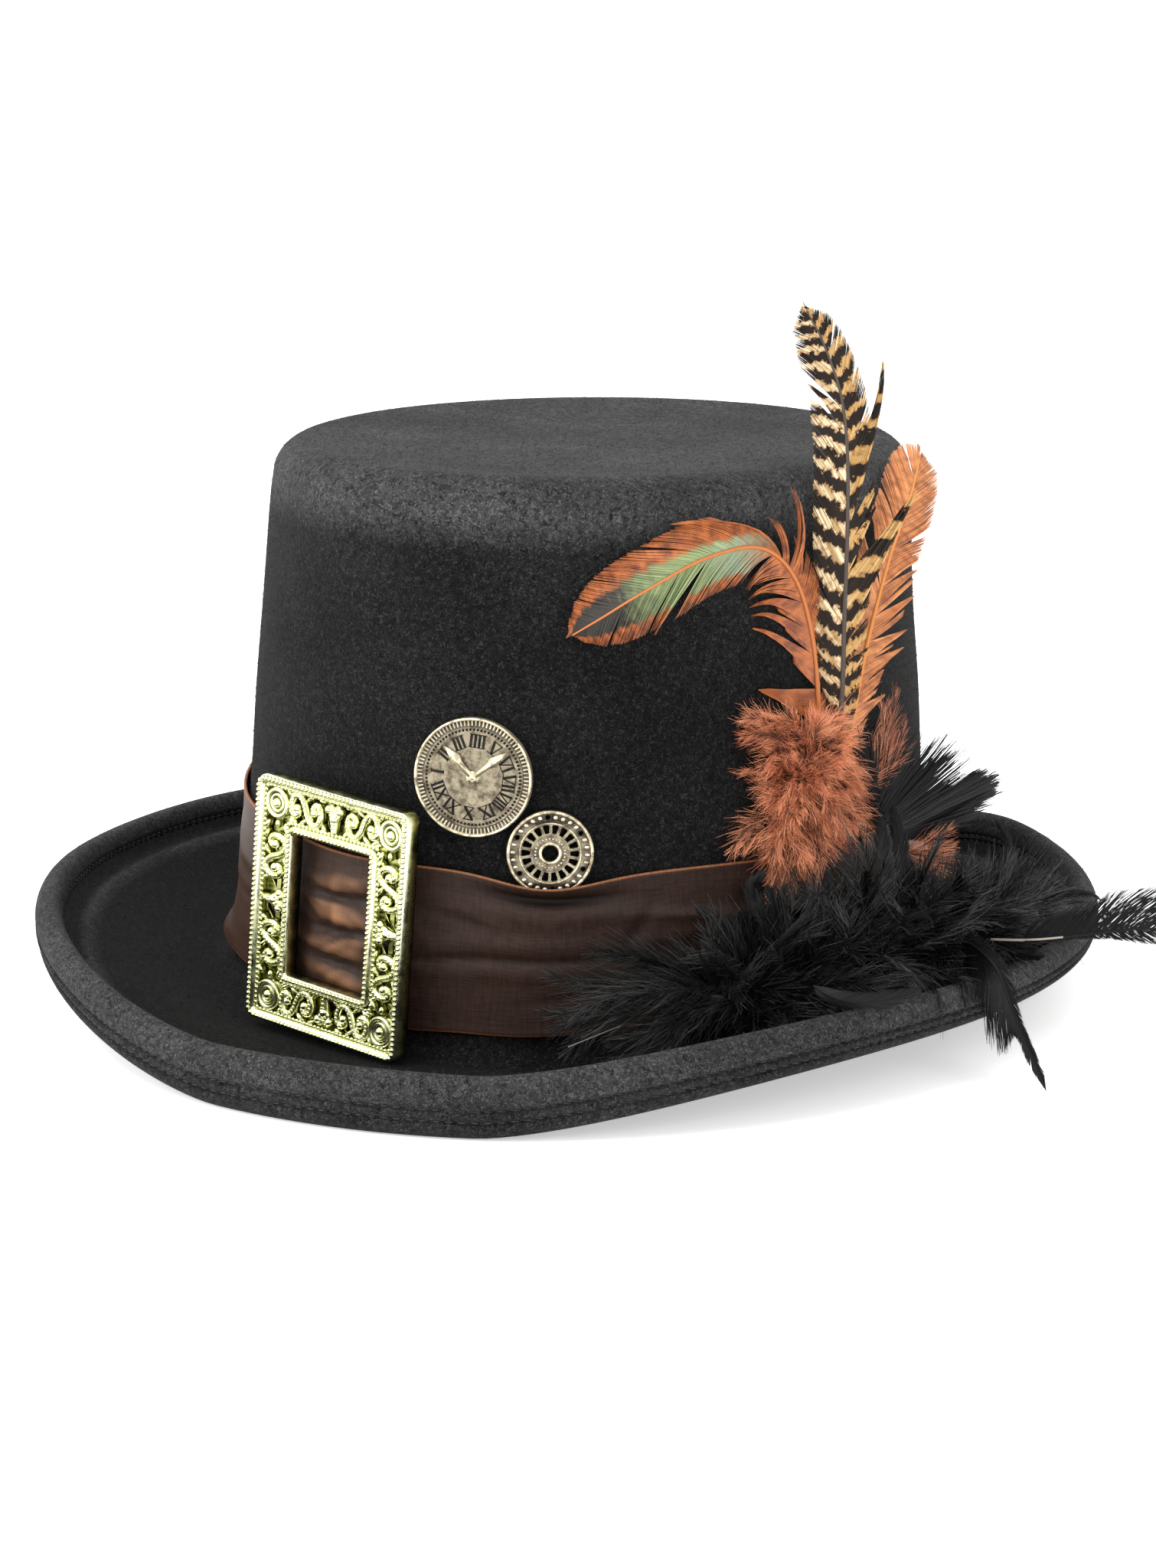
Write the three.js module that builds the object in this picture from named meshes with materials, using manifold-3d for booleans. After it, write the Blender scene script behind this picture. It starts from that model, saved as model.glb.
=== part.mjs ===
// A felt top hat dressed with a satin band, a pierced buckle, two cast charms and feathers.
// Millimetres, +Z up. The floor under the brim is z = 0, the front is -Y, the crown's axis is Z.
// A turn is counted in degrees round the crown, 0 at the front and 90 at the wearer's left (+X).
import * as THREE from "three";
import { mergeVertices } from "three/addons/utils/BufferGeometryUtils.js";
import Module from "manifold-3d";

const wasm = await Module();
wasm.setup();

// Driving dimensions
const GAP = 0.4;
const WELD = 1e-4;
const FELT_WALL = 2.0;
const CROWN = { halfWidth: 88.7, halfLength: 103, narrowing: 10.3, height: 143.4 };
const CROWN_BENDS = { shoulder: 9, foot: 6, dish: 2.4 };
const BRIM = { halfWidth: 137.3, halfLength: 164.8, rimFront: 15.1, rimSide: 9.9, footRise: 5, curl: 1.4 };
const BRIM_LEFT = { narrower: 5.2, rise: 14.4, front: 2.35, back: 8 };
const BRIM_RIGHT = { narrower: 0, rise: 18.4, front: 1.62, back: 1.62 };
const BRIM_FLAT = { turn: 14, ease: 0.03 };
const BAND = { wall: 1.0, standoff: 0.7, bottom: 9.3, top: 49.5, sideRise: 6.2, leftShare: 0.3, pleat: 0.9 };
const BUCKLE = { width: 50.8, height: 61.6, depth: 5, web: 3.4, railSide: 12.3, railEnd: 13 };
const BUCKLE_PLACE = { turn: -17.3, height: 34.9, standoff: 3.1 };
const BUCKLE_SPIN = -3.2;
const CLOCK = { radius: 14.4, depth: 2.2, face: 0.7 };
const CLOCK_PLACE = { turn: 5.9, height: 72.5, standoff: GAP };
const WHEEL = { radius: 10.4, depth: 1.8, plate: 0.7 };
const WHEEL_PLACE = { turn: 18.1, height: 54.9, standoff: GAP };

const ROUND_STEPS = 52;
const TAU = 2 * Math.PI;
const rad = THREE.MathUtils.degToRad;
const lerp = THREE.MathUtils.lerp;
const bell = (x, middle, spread) => Math.exp(-(((x - middle) / spread) ** 2));

// A closed body through rings of points. A hoop joins its last ring to its first,
// any other body has a fan of triangles over each end.
function loft(rings, hoop = false) {
  const count = rings[0].length;
  const points = rings.flat();
  const faces = [];
  const spans = hoop ? rings.length : rings.length - 1;
  for (let r = 0; r < spans; r += 1) {
    const here = r * count;
    const next = ((r + 1) % rings.length) * count;
    for (let i = 0; i < count; i += 1) {
      const j = (i + 1) % count;
      faces.push(here + i, here + j, next + j, here + i, next + j, next + i);
    }
  }
  if (!hoop) {
    closeEnd(points, faces, 0, count, true);
    closeEnd(points, faces, (rings.length - 1) * count, count, false);
  }
  const geometry = new THREE.BufferGeometry().setFromPoints(points);
  geometry.setIndex(faces);
  return facingOut(geometry);
}

function closeEnd(points, faces, start, count, first) {
  const middle = points.length;
  const sum = points.slice(start, start + count).reduce((s, p) => s.add(p), new THREE.Vector3());
  points.push(sum.divideScalar(count));
  for (let i = 0; i < count; i += 1) {
    const a = start + i;
    const b = start + ((i + 1) % count);
    faces.push(middle, first ? b : a, first ? a : b);
  }
}

// Turns every triangle round where the body has come out inside out.
function facingOut(geometry) {
  const at = geometry.attributes.position;
  const index = geometry.index.array;
  const corner = (i) => new THREE.Vector3().fromBufferAttribute(at, index[i]);
  let volume = 0;
  for (let i = 0; i < index.length; i += 3) {
    volume += corner(i).dot(corner(i + 1).cross(corner(i + 2)));
  }
  if (volume < 0) {
    for (let i = 0; i < index.length; i += 3) {
      [index[i], index[i + 1]] = [index[i + 1], index[i]];
    }
  }
  return geometry;
}

// Joining and cutting closed bodies
function welded(geometry) {
  const bare = geometry.clone();
  bare.deleteAttribute("normal");
  bare.deleteAttribute("uv");
  return mergeVertices(bare, WELD);
}

function solidOf(geometry) {
  const merged = welded(geometry);
  return new wasm.Manifold(
    new wasm.Mesh({
      numProp: 3,
      vertProperties: Float32Array.from(merged.attributes.position.array),
      triVerts: Uint32Array.from(merged.index.array),
    }),
  );
}

function geometryOf(solid) {
  const mesh = solid.getMesh();
  const geometry = new THREE.BufferGeometry();
  geometry.setAttribute("position", new THREE.BufferAttribute(Float32Array.from(mesh.vertProperties), 3));
  geometry.setIndex(Array.from(mesh.triVerts));
  return geometry;
}

function fused(geometries) {
  const solids = geometries.map(solidOf);
  return geometryOf(solids.reduce((whole, piece) => whole.add(piece)));
}

function mesh(name, geometry, look) {
  geometry.computeVertexNormals();
  const piece = new THREE.Mesh(geometry, new THREE.MeshStandardMaterial(look));
  piece.name = name;
  return piece;
}

// The crown's outer half sizes at a height, and a point a given distance off its wall.
function crownHalves(height, standoff = 0) {
  const foot = FELT_WALL + CROWN_BENDS.foot;
  const share = (height - foot) / (CROWN.height - CROWN_BENDS.shoulder - foot);
  return {
    x: CROWN.halfWidth - CROWN.narrowing * share + standoff,
    y: CROWN.halfLength + standoff,
  };
}

function onCrown({ turn, height, standoff }) {
  const half = crownHalves(height, standoff);
  return new THREE.Vector3(half.x * Math.sin(rad(turn)), -half.y * Math.cos(rad(turn)), height);
}

function crownNormal(turn) {
  const half = crownHalves(CROWN.height / 2);
  return new THREE.Vector3(Math.sin(rad(turn)) / half.x, -Math.cos(rad(turn)) / half.y, 0).normalize();
}

// A group whose +Z leaves the crown's wall squarely and whose +Y stands upright.
function seatOnCrown(place) {
  const seat = new THREE.Group();
  const out = crownNormal(place.turn);
  seat.position.copy(onCrown(place));
  seat.rotation.set(Math.PI / 2, 0, Math.atan2(out.x, -out.y), "ZYX");
  return seat;
}

// How far the brim has left the floor: 0 on the flats at front and back, easing up to 1 at the sides.
function lifted(turn) {
  const eased = (past) => (past > 0 ? past ** 2 / (past + BRIM_FLAT.ease) : 0);
  const flat = Math.sin(rad(BRIM_FLAT.turn)) ** 2;
  return eased(Math.sin(turn) ** 2 - flat) / eased(1 - flat);
}

const brimSide = (turn) => (Math.sin(turn) > 0 ? BRIM_LEFT : BRIM_RIGHT);

// A fuller side comes up sooner from the flat: front and back give the fullness of each quarter.
function rimRise(turn) {
  const { rise, front, back } = brimSide(turn);
  return rise * (1 - (1 - lifted(turn)) ** (Math.cos(turn) > 0 ? front : back));
}

const footRise = (turn) => BRIM.footRise * lifted(turn);
const rimHeight = (turn) => lerp(BRIM.rimFront, BRIM.rimSide, Math.sin(turn) ** 2);

// Felt body: crown, dished tip, brim and turned-up hem blocked from one hood.
const TIP_ROWS = [
  { share: 0.08, dish: 1.0 },
  { share: 0.55, dish: 0.85 },
  { share: 0.86, dish: 0.3 },
];
const SHOULDER_ANGLES = [90, 58, 25];
const WALL_SHARES = [0.04, 0.5];
const FOOT_ANGLES = [0, 40, 90];
const BRIM_SHARES = [0.5, 1.0];
const HEM_START = 13;
// Inset from the rim's widest line, height above the brim's foot, and share of the rim's height.
// A narrow welt runs round the outside of the hem between two stitched grooves.
const HEM_ROWS = [
  { inset: 9.2, lift: 2.6, share: 0.0 },
  { inset: 7.2, lift: 2.2, share: 0.2 },
  { inset: 6.6, lift: 0.0, share: 0.78 },
  { inset: 5.6, lift: 0.0, share: 0.95 },
  { inset: 3.8, lift: 0.0, share: 1.0 },
  { inset: 1.5, lift: 0.0, share: 0.92 },
  { inset: 0.3, lift: 0.0, share: 0.74 },
  { inset: 0.1, lift: 0.0, share: 0.56 },
  { inset: 1.0, lift: 0.0, share: 0.48 },
  { inset: 0.2, lift: 0.0, share: 0.4 },
  { inset: 1.1, lift: 0.0, share: 0.31 },
  { inset: 0.8, lift: 0.0, share: 0.2 },
  { inset: 2.4, lift: 0.0, share: 0.06 },
  { inset: 6.6, lift: 0.0, share: 0.0 },
];

// A ring round the crown's axis. Out on the brim it takes on a share of each side's narrowing.
function ringAt(halfX, halfY, heightAt, brimShare = 0) {
  return Array.from({ length: ROUND_STEPS }, (_, i) => {
    const turn = (i / ROUND_STEPS) * TAU;
    const sideX = halfX - brimSide(turn).narrower * brimShare;
    return new THREE.Vector3(sideX * Math.sin(turn), -halfY * Math.cos(turn), heightAt(turn));
  });
}

// One face of the felt from the tip's middle to the hem: the outer face, or the inner one a wall deeper.
function feltFace(depth) {
  const wallTop = CROWN.height - CROWN_BENDS.shoulder;
  const wallFoot = FELT_WALL + CROWN_BENDS.foot;
  const top = crownHalves(wallTop, -CROWN_BENDS.shoulder);
  const shoulder = CROWN_BENDS.shoulder - depth;
  const footRadius = CROWN_BENDS.foot + depth;
  const rows = [];
  const add = (x, y, heightAt, brimShare) => rows.push(ringAt(x, y, heightAt, brimShare));
  for (const { share, dish } of TIP_ROWS) {
    add(top.x * share, top.y * share, () => CROWN.height - depth - dish * CROWN_BENDS.dish);
  }
  for (const angle of SHOULDER_ANGLES) {
    const out = shoulder * Math.cos(rad(angle));
    const up = shoulder * Math.sin(rad(angle));
    add(top.x + out, top.y + out, () => wallTop + up);
  }
  const footTop = (turn) => wallFoot + footRise(turn);
  for (const share of WALL_SHARES) {
    const half = crownHalves(lerp(wallTop, wallFoot, share), -depth);
    add(half.x, half.y, (turn) => lerp(wallTop, footTop(turn), share));
  }
  const foot = crownHalves(wallFoot, CROWN_BENDS.foot);
  for (const angle of FOOT_ANGLES) {
    const back = footRadius * Math.cos(rad(angle));
    const down = footRadius * Math.sin(rad(angle));
    add(foot.x - back, foot.y - back, (turn) => footTop(turn) - down);
  }
  for (const share of BRIM_SHARES) {
    const x = lerp(foot.x, BRIM.halfWidth - HEM_START, share);
    const y = lerp(foot.y, BRIM.halfLength - HEM_START, share);
    const heightAt = (turn) => FELT_WALL - depth + lerp(footRise(turn), rimRise(turn), share ** BRIM.curl);
    add(x, y, heightAt, share);
  }
  return rows;
}

function feltBody() {
  const hem = HEM_ROWS.map(({ inset, lift, share }) => {
    const heightAt = (turn) => rimRise(turn) + lift + share * rimHeight(turn);
    return ringAt(BRIM.halfWidth - inset, BRIM.halfLength - inset, heightAt, 1);
  });
  return loft([...feltFace(0), ...hem, ...feltFace(FELT_WALL).reverse()]);
}

// Hat band: a satin ribbon in soft lengthwise folds, eased out under the buckle and over the wheel's foot.
const BAND_LEVELS = [0, 0.2, 0.4, 0.6, 0.8, 1];
const BAND_DIP = { turn: 17.5, spread: 9.5, depth: 2.7, bulge: 3.7, steepness: 3 };
const BUCKLE_EASE = { spread: 16, bulge: 0.8 };
const FOLDS = { acrossBand: 11, slowSway: 1.3, slowTurns: 2, quickSway: 0.7, quickTurns: 5, edgeEase: 0.6 };

function bandEdges(turn) {
  const rise = BAND.sideRise * Math.sin(rad(turn)) ** 2;
  const dip = BAND_DIP.depth * bell(turn, BAND_DIP.turn, BAND_DIP.spread);
  return {
    bottom: BAND.bottom + rise,
    top: BAND.top + rise * (turn < 0 ? 1 : BAND.leftShare) - dip,
  };
}

function bandStandoff(turn, level) {
  const slow = FOLDS.slowSway * Math.sin(rad(turn * FOLDS.slowTurns));
  const quick = FOLDS.quickSway * Math.sin(rad(turn * FOLDS.quickTurns));
  const wave = (1 + Math.sin(level * FOLDS.acrossBand + slow + quick)) / 2;
  const swell = Math.sin(Math.PI * level);
  const pleat = BAND.pleat * wave * swell ** FOLDS.edgeEase;
  const overWheel = BAND_DIP.bulge * bell(turn, BAND_DIP.turn, BAND_DIP.spread) * level ** BAND_DIP.steepness;
  const underBuckle = BUCKLE_EASE.bulge * bell(turn, BUCKLE_PLACE.turn, BUCKLE_EASE.spread) * swell;
  return BAND.standoff + pleat + overWheel + underBuckle;
}

function hatBand() {
  const sections = Array.from({ length: ROUND_STEPS }, (_, i) => {
    const turn = (i / ROUND_STEPS) * 360 - 180;
    const { bottom, top } = bandEdges(turn);
    const face = (extra) =>
      BAND_LEVELS.map((level) =>
        onCrown({ turn, height: lerp(bottom, top, level), standoff: bandStandoff(turn, level) + extra }),
      );
    return [...face(BAND.wall), ...face(0).reverse()];
  });
  return loft(sections, true);
}

// Buckle: a pierced cast frame with a rim round its edge and its window, scroll gaps and corner rosettes.
const BUCKLE_CHAMFER = 2.2;
const BUCKLE_RIM = 2.0;
const ROSETTE = { radius: 3.5, sides: 10, rise: 0.6 };
const SCROLL = { cell: 8.8, along: 2.0, across: 2.1, head: 1.6, tail: 4.6, tailDrop: 1.5 };
const SCROLL_ARC = [-90, -40, 10, 60, 110, 160];

function flatShape(points) {
  return new THREE.Shape(points.map(([x, y]) => new THREE.Vector2(x, y)));
}

function frameOutline(inset) {
  const x = BUCKLE.width / 2 - inset;
  const y = BUCKLE.height / 2 - inset;
  const c = BUCKLE_CHAMFER;
  return [[x - c, -y], [x, c - y], [x, y - c], [x - c, y], [c - x, y], [-x, y - c], [-x, c - y], [c - x, -y]];
}

function windowOutline(grow) {
  const x = BUCKLE.width / 2 - BUCKLE.railSide + grow;
  const y = BUCKLE.height / 2 - BUCKLE.railEnd + grow;
  return [[x, -y], [x, y], [-x, y], [-x, -y]];
}

// A comma-shaped gap: a round head that runs out into a tail along the rail.
function scrollGap(middle, along, side) {
  const across = new THREE.Vector2(-along.y, along.x);
  const place = (u, v) => {
    const p = middle.clone().addScaledVector(along, side * u).addScaledVector(across, side * v);
    return [p.x, p.y];
  };
  const arc = SCROLL_ARC.map((angle) => [
    SCROLL.along + SCROLL.head * Math.cos(rad(angle)),
    SCROLL.across + SCROLL.head * Math.sin(rad(angle)),
  ]);
  const tail = [SCROLL.along - SCROLL.tail, SCROLL.across - SCROLL.tailDrop];
  return [...arc, tail].map(([u, v]) => place(u, v));
}

function railGaps(centre, along, length) {
  const count = Math.floor(length / SCROLL.cell);
  const gaps = [];
  for (let k = 0; k < count; k += 1) {
    const middle = centre.clone().addScaledVector(along, (k - (count - 1) / 2) * SCROLL.cell);
    gaps.push(scrollGap(middle, along, 1), scrollGap(middle, along, -1));
  }
  return gaps;
}

function extruded(shape, depth) {
  return new THREE.ExtrudeGeometry(shape, { depth, bevelEnabled: false, steps: 1 });
}

function ringPlate(outer, inner, depth) {
  const shape = flatShape(outer);
  shape.holes.push(flatShape(inner));
  return extruded(shape, depth);
}

function buckle() {
  const sideX = (BUCKLE.width - BUCKLE.railSide) / 2;
  const endY = (BUCKLE.height - BUCKLE.railEnd) / 2;
  const web = flatShape(frameOutline(0));
  web.holes.push(flatShape(windowOutline(0)));
  const upright = new THREE.Vector2(0, 1);
  const level = new THREE.Vector2(1, 0);
  const sideRun = BUCKLE.height - 2 * BUCKLE.railEnd;
  const endRun = BUCKLE.width - 2 * BUCKLE.railSide;
  for (const side of [-1, 1]) {
    const sideGaps = railGaps(new THREE.Vector2(side * sideX, 0), upright, sideRun);
    const endGaps = railGaps(new THREE.Vector2(0, side * endY), level, endRun);
    web.holes.push(...[...sideGaps, ...endGaps].map(flatShape));
  }
  const rosettes = [[-1, -1], [1, -1], [-1, 1], [1, 1]].map(([x, y]) =>
    new THREE.CylinderGeometry(ROSETTE.radius, ROSETTE.radius, BUCKLE.depth + ROSETTE.rise, ROSETTE.sides)
      .rotateX(Math.PI / 2)
      .translate(x * sideX, y * endY, (BUCKLE.depth + ROSETTE.rise) / 2),
  );
  return fused([
    extruded(web, BUCKLE.web),
    ringPlate(frameOutline(0), frameOutline(BUCKLE_RIM), BUCKLE.depth),
    ringPlate(windowOutline(BUCKLE_RIM), windowOutline(0), BUCKLE.depth),
    ...rosettes,
  ]);
}

// Charms: a cast clock face with a raised rim, hour marks and hands, and a pierced wheel.
const CHARM_SIDES = 26;
const CLOCK_PROFILE = [
  { share: 0.96, rise: 0.0 },
  { share: 1.0, rise: 0.35 },
  { share: 1.0, rise: 0.85 },
  { share: 0.95, rise: 1.0 },
  { share: 0.84, rise: 0.86 },
  { share: 0.8, rise: 0.7 },
];
const HOUR_MARK = { count: 12, radius: 0.63, width: 0.9, length: 3.0, rise: 0.3, turn: -6 };
const HANDS = [
  { turn: 44, length: 9.6, width: 1.5 },
  { turn: -51, length: 10.2, width: 1.1 },
];
const HAND_CAST = { tail: 1, widest: 0.66, thick: 0.9, sunk: 0.3 };
const BOSS = { radius: 1.4, height: 1.6, sides: 10 };

// A hand widens from its tail to a spade near the tip.
function clockHand({ turn, length, width }, face) {
  const widest = length * HAND_CAST.widest;
  const shape = flatShape([
    [-width / 2, -HAND_CAST.tail],
    [width / 2, -HAND_CAST.tail],
    [width, widest],
    [0, length],
    [-width, widest],
  ]);
  return extruded(shape, HAND_CAST.thick)
    .translate(0, 0, face - HAND_CAST.sunk)
    .rotateZ(rad(turn));
}

function clockCharm() {
  const face = CLOCK.face * CLOCK.depth;
  const rows = [{ share: 0, rise: 0 }, ...CLOCK_PROFILE, { share: 0, rise: CLOCK.face }];
  const profile = rows.map(({ share, rise }) => new THREE.Vector2(share * CLOCK.radius, rise * CLOCK.depth));
  const disc = new THREE.LatheGeometry(profile, CHARM_SIDES).rotateX(Math.PI / 2).scale(1, -1, 1);
  const marks = Array.from({ length: HOUR_MARK.count }, (_, k) =>
    new THREE.BoxGeometry(HOUR_MARK.width, HOUR_MARK.length, 2 * HOUR_MARK.rise)
      .translate(0, HOUR_MARK.radius * CLOCK.radius, face)
      .rotateZ((k / HOUR_MARK.count) * TAU + rad(HOUR_MARK.turn)),
  );
  const hands = HANDS.map((hand) => clockHand(hand, face));
  const boss = new THREE.CylinderGeometry(BOSS.radius, BOSS.radius, BOSS.height, BOSS.sides)
    .rotateX(Math.PI / 2)
    .translate(0, 0, face);
  return fused([facingOut(welded(disc)), ...marks, ...hands, boss]);
}

function circle(radius, sides) {
  return Array.from({ length: sides }, (_, k) => {
    const turn = (k / sides) * TAU;
    return [radius * Math.cos(turn), radius * Math.sin(turn)];
  });
}

const WHEEL_RINGS = { hole: 0.2, hub: 0.36, windowIn: 0.42, windowOut: 0.7, rim: 0.9 };
const WHEEL_SIDES = { hole: 10, hub: 14 };
const WHEEL_WINDOWS = { count: 18, openShare: 0.62 };
const WHEEL_HOLES = { count: 6, radius: 0.06, at: 0.81, sides: 6 };

function wheelCharm() {
  const r = WHEEL.radius;
  const axle = circle(WHEEL_RINGS.hole * r, WHEEL_SIDES.hole);
  const plate = flatShape(circle(r, CHARM_SIDES));
  plate.holes.push(flatShape(axle));
  for (let k = 0; k < WHEEL_WINDOWS.count; k += 1) {
    const middle = (k / WHEEL_WINDOWS.count) * TAU;
    const half = (WHEEL_WINDOWS.openShare / WHEEL_WINDOWS.count) * Math.PI;
    const corner = (share, turn) => [share * r * Math.cos(turn), share * r * Math.sin(turn)];
    const { windowIn, windowOut } = WHEEL_RINGS;
    plate.holes.push(
      flatShape([
        corner(windowIn, middle - half),
        corner(windowOut, middle - half),
        corner(windowOut, middle + half),
        corner(windowIn, middle + half),
      ]),
    );
  }
  for (let k = 0; k < WHEEL_HOLES.count; k += 1) {
    const turn = (k / WHEEL_HOLES.count) * TAU;
    const at = WHEEL_HOLES.at * r;
    const hole = circle(WHEEL_HOLES.radius * r, WHEEL_HOLES.sides);
    plate.holes.push(flatShape(hole.map(([x, y]) => [x + at * Math.cos(turn), y + at * Math.sin(turn)])));
  }
  const rim = ringPlate(circle(r, CHARM_SIDES), circle(WHEEL_RINGS.rim * r, CHARM_SIDES), WHEEL.depth);
  const hub = ringPlate(circle(WHEEL_RINGS.hub * r, WHEEL_SIDES.hub), axle, WHEEL.depth);
  return fused([extruded(plate, WHEEL.plate * WHEEL.depth), rim, hub]);
}

// Feathers: a vane is a thin blade along its shaft, wider on either side of it row by row.
const VANE_STEPS = 12;
const SHAFT = { half: 0.6, taper: 0.5 };

function along(rows, key, share) {
  const at = share * (rows.length - 1);
  const k = Math.min(Math.floor(at), rows.length - 2);
  return lerp(rows[k][key], rows[k + 1][key], at - k);
}

function vane(rows) {
  const shaft = new THREE.CatmullRomCurve3(rows.map(onCrown));
  const sections = Array.from({ length: VANE_STEPS + 1 }, (_, i) => {
    const share = i / VANE_STEPS;
    const middle = shaft.getPoint(share);
    const ahead = shaft.getTangent(share);
    const out = crownNormal(along(rows, "turn", share));
    const side = new THREE.Vector3().crossVectors(ahead, out).normalize();
    const proud = new THREE.Vector3().crossVectors(side, ahead).normalize();
    const thick = SHAFT.half * (1 - SHAFT.taper * share);
    return [
      middle.clone().addScaledVector(side, along(rows, "right", share)),
      middle.clone().addScaledVector(proud, thick),
      middle.clone().addScaledVector(side, -along(rows, "left", share)),
      middle.clone().addScaledVector(proud, -thick),
    ];
  });
  return loft(sections);
}

// A lock swells a little from its root, tapers to a point and bows to one side on the way.
const LOCK_STEPS = 3;
const LOCK = { root: 0.55, swell: 0.9, taper: 0.7, tip: 0.06, thick: 1.2 };

function lock(root, tip, { width, thick, bow = 0 }) {
  const out = new THREE.Vector3(root.x, root.y, 0).normalize();
  const ahead = tip.clone().sub(root);
  const side = new THREE.Vector3().crossVectors(ahead, out).normalize();
  const proud = new THREE.Vector3().crossVectors(side, ahead).normalize();
  const sections = Array.from({ length: LOCK_STEPS + 1 }, (_, i) => {
    const share = i / LOCK_STEPS;
    const middle = root.clone().lerp(tip, share).addScaledVector(side, bow * Math.sin(Math.PI * share));
    const taper = Math.max(LOCK.tip, (1 - share) ** LOCK.taper * (LOCK.root + LOCK.swell * share));
    return [
      middle.clone().addScaledVector(side, (taper * width) / 2),
      middle.clone().addScaledVector(proud, (taper * thick) / 2),
      middle.clone().addScaledVector(side, (-taper * width) / 2),
      middle.clone().addScaledVector(proud, (-taper * thick) / 2),
    ];
  });
  return loft(sections);
}

// A vane's tuft: where it leaves the vane, where it ends, its width and how far it bows.
const at = (turn, height, standoff) => ({ turn, height, standoff });
const spread = ({ root, tip, width, bow }) =>
  lock(onCrown(root), onCrown(tip), { width, thick: LOCK.thick, bow });

const PHEASANT_ROWS = [
  { turn: 64.0, height: 82, standoff: 7.0, left: 0.8, right: 0.8 },
  { turn: 64.2, height: 92, standoff: 7.5, left: 5.5, right: 4.5 },
  { turn: 64.4, height: 108, standoff: 8.5, left: 8.0, right: 7.0 },
  { turn: 64.6, height: 128, standoff: 10, left: 8.5, right: 7.0 },
  { turn: 64.6, height: 147, standoff: 11, left: 7.5, right: 6.0 },
  { turn: 63.5, height: 163, standoff: 12, left: 6.5, right: 5.5 },
  { turn: 60.2, height: 177, standoff: 12, left: 4.5, right: 4.0 },
  { turn: 57.0, height: 185, standoff: 12, left: 0.6, right: 0.6 },
];
const PHEASANT_TUFTS = [
  { root: at(65.5, 146, 11), tip: at(69.5, 166, 11.6), width: 5.5, bow: 1.5 },
  { root: at(66.5, 128, 10), tip: at(77, 142, 10.6), width: 6, bow: 2.5 },
];
const GREEN_ROWS = [
  { turn: 62.8, height: 85, standoff: 2.6, left: 0.8, right: 0.8 },
  { turn: 62.0, height: 101, standoff: 2.6, left: 6.0, right: 3.5 },
  { turn: 58.5, height: 117, standoff: 2.8, left: 8.0, right: 5.5 },
  { turn: 52.0, height: 125, standoff: 3.0, left: 8.5, right: 7.5 },
  { turn: 42.5, height: 123, standoff: 3.2, left: 8.5, right: 8.5 },
  { turn: 32.5, height: 116, standoff: 3.2, left: 7.5, right: 8.0 },
  { turn: 25.0, height: 110, standoff: 3.0, left: 5.0, right: 6.0 },
  { turn: 20.5, height: 106, standoff: 2.6, left: 0.8, right: 0.8 },
];
const GREEN_TUFTS = [
  { root: at(59, 116, 2.8), tip: at(53.5, 139, 3.2), width: 6, bow: -2 },
  { root: at(61, 108, 2.6), tip: at(50, 106, 2.8), width: 5, bow: 1.5 },
  { root: at(62, 98, 2.6), tip: at(52, 101, 2.8), width: 5, bow: 1.5 },
];
const RUST_ROWS = [
  { turn: 68.5, height: 80, standoff: 4.6, left: 0.8, right: 0.8 },
  { turn: 70.5, height: 92, standoff: 4.6, left: 3.0, right: 5.0 },
  { turn: 73.5, height: 105, standoff: 4.6, left: 5.5, right: 7.5 },
  { turn: 79.5, height: 121, standoff: 4.6, left: 7.5, right: 8.0 },
  { turn: 88.0, height: 132, standoff: 4.6, left: 7.0, right: 7.0 },
  { turn: 97.0, height: 141, standoff: 4.6, left: 0.8, right: 0.8 },
];
const RUST_TUFTS = [
  { root: at(72, 100, 4.6), tip: at(84, 98, 4.6), width: 5, bow: 1 },
  { root: at(70, 90, 4.6), tip: at(82, 86, 4.6), width: 5, bow: 1 },
];

const feather = (rows, tufts) => fused([vane(rows), ...tufts.map(spread)]);

// A tuft or a fan is a rounded head with locks standing out of it, bowed to either side in turn.
const HEAD_FACETS = { round: 10, rows: 7 };

function head(size) {
  const seat = seatOnCrown(size);
  seat.updateMatrix();
  return new THREE.SphereGeometry(1, HEAD_FACETS.round, HEAD_FACETS.rows)
    .scale(size.wide, size.tall, size.deep)
    .applyMatrix4(seat.matrix);
}

function tuft(headSize, tips, { width, thick, bow }) {
  const root = onCrown(headSize);
  const locks = tips.map((tip, k) => lock(root, onCrown(tip), { width, thick, bow: k % 2 ? bow : -bow }));
  return fused([head(headSize), ...locks]);
}

const FLUFF_LOCK = { width: 11, thick: 5, bow: 1.5 };
const FAN_LOCK = { width: 7, thick: 2, bow: 1.5 };
const FLUFF_HEAD = { turn: 54.5, height: 71, standoff: 8.5, wide: 9.5, tall: 13, deep: 7 };
const FLUFF_TIPS = [
  { turn: 45, height: 97, standoff: 6 },
  { turn: 50, height: 95, standoff: 8 },
  { turn: 55, height: 92, standoff: 10 },
  { turn: 43.5, height: 87, standoff: 7 },
  { turn: 43, height: 76, standoff: 7 },
  { turn: 44, height: 66, standoff: 7 },
  { turn: 43, height: 57, standoff: 6 },
  { turn: 48, height: 50, standoff: 6 },
  { turn: 52.5, height: 44.5, standoff: 7 },
  { turn: 57, height: 52, standoff: 8 },
  { turn: 63.5, height: 56, standoff: 9 },
  { turn: 64.5, height: 66, standoff: 12 },
];
const FAN_HEAD = { turn: 74, height: 56, standoff: 9, wide: 4.5, tall: 6.5, deep: 4.5 };
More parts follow.
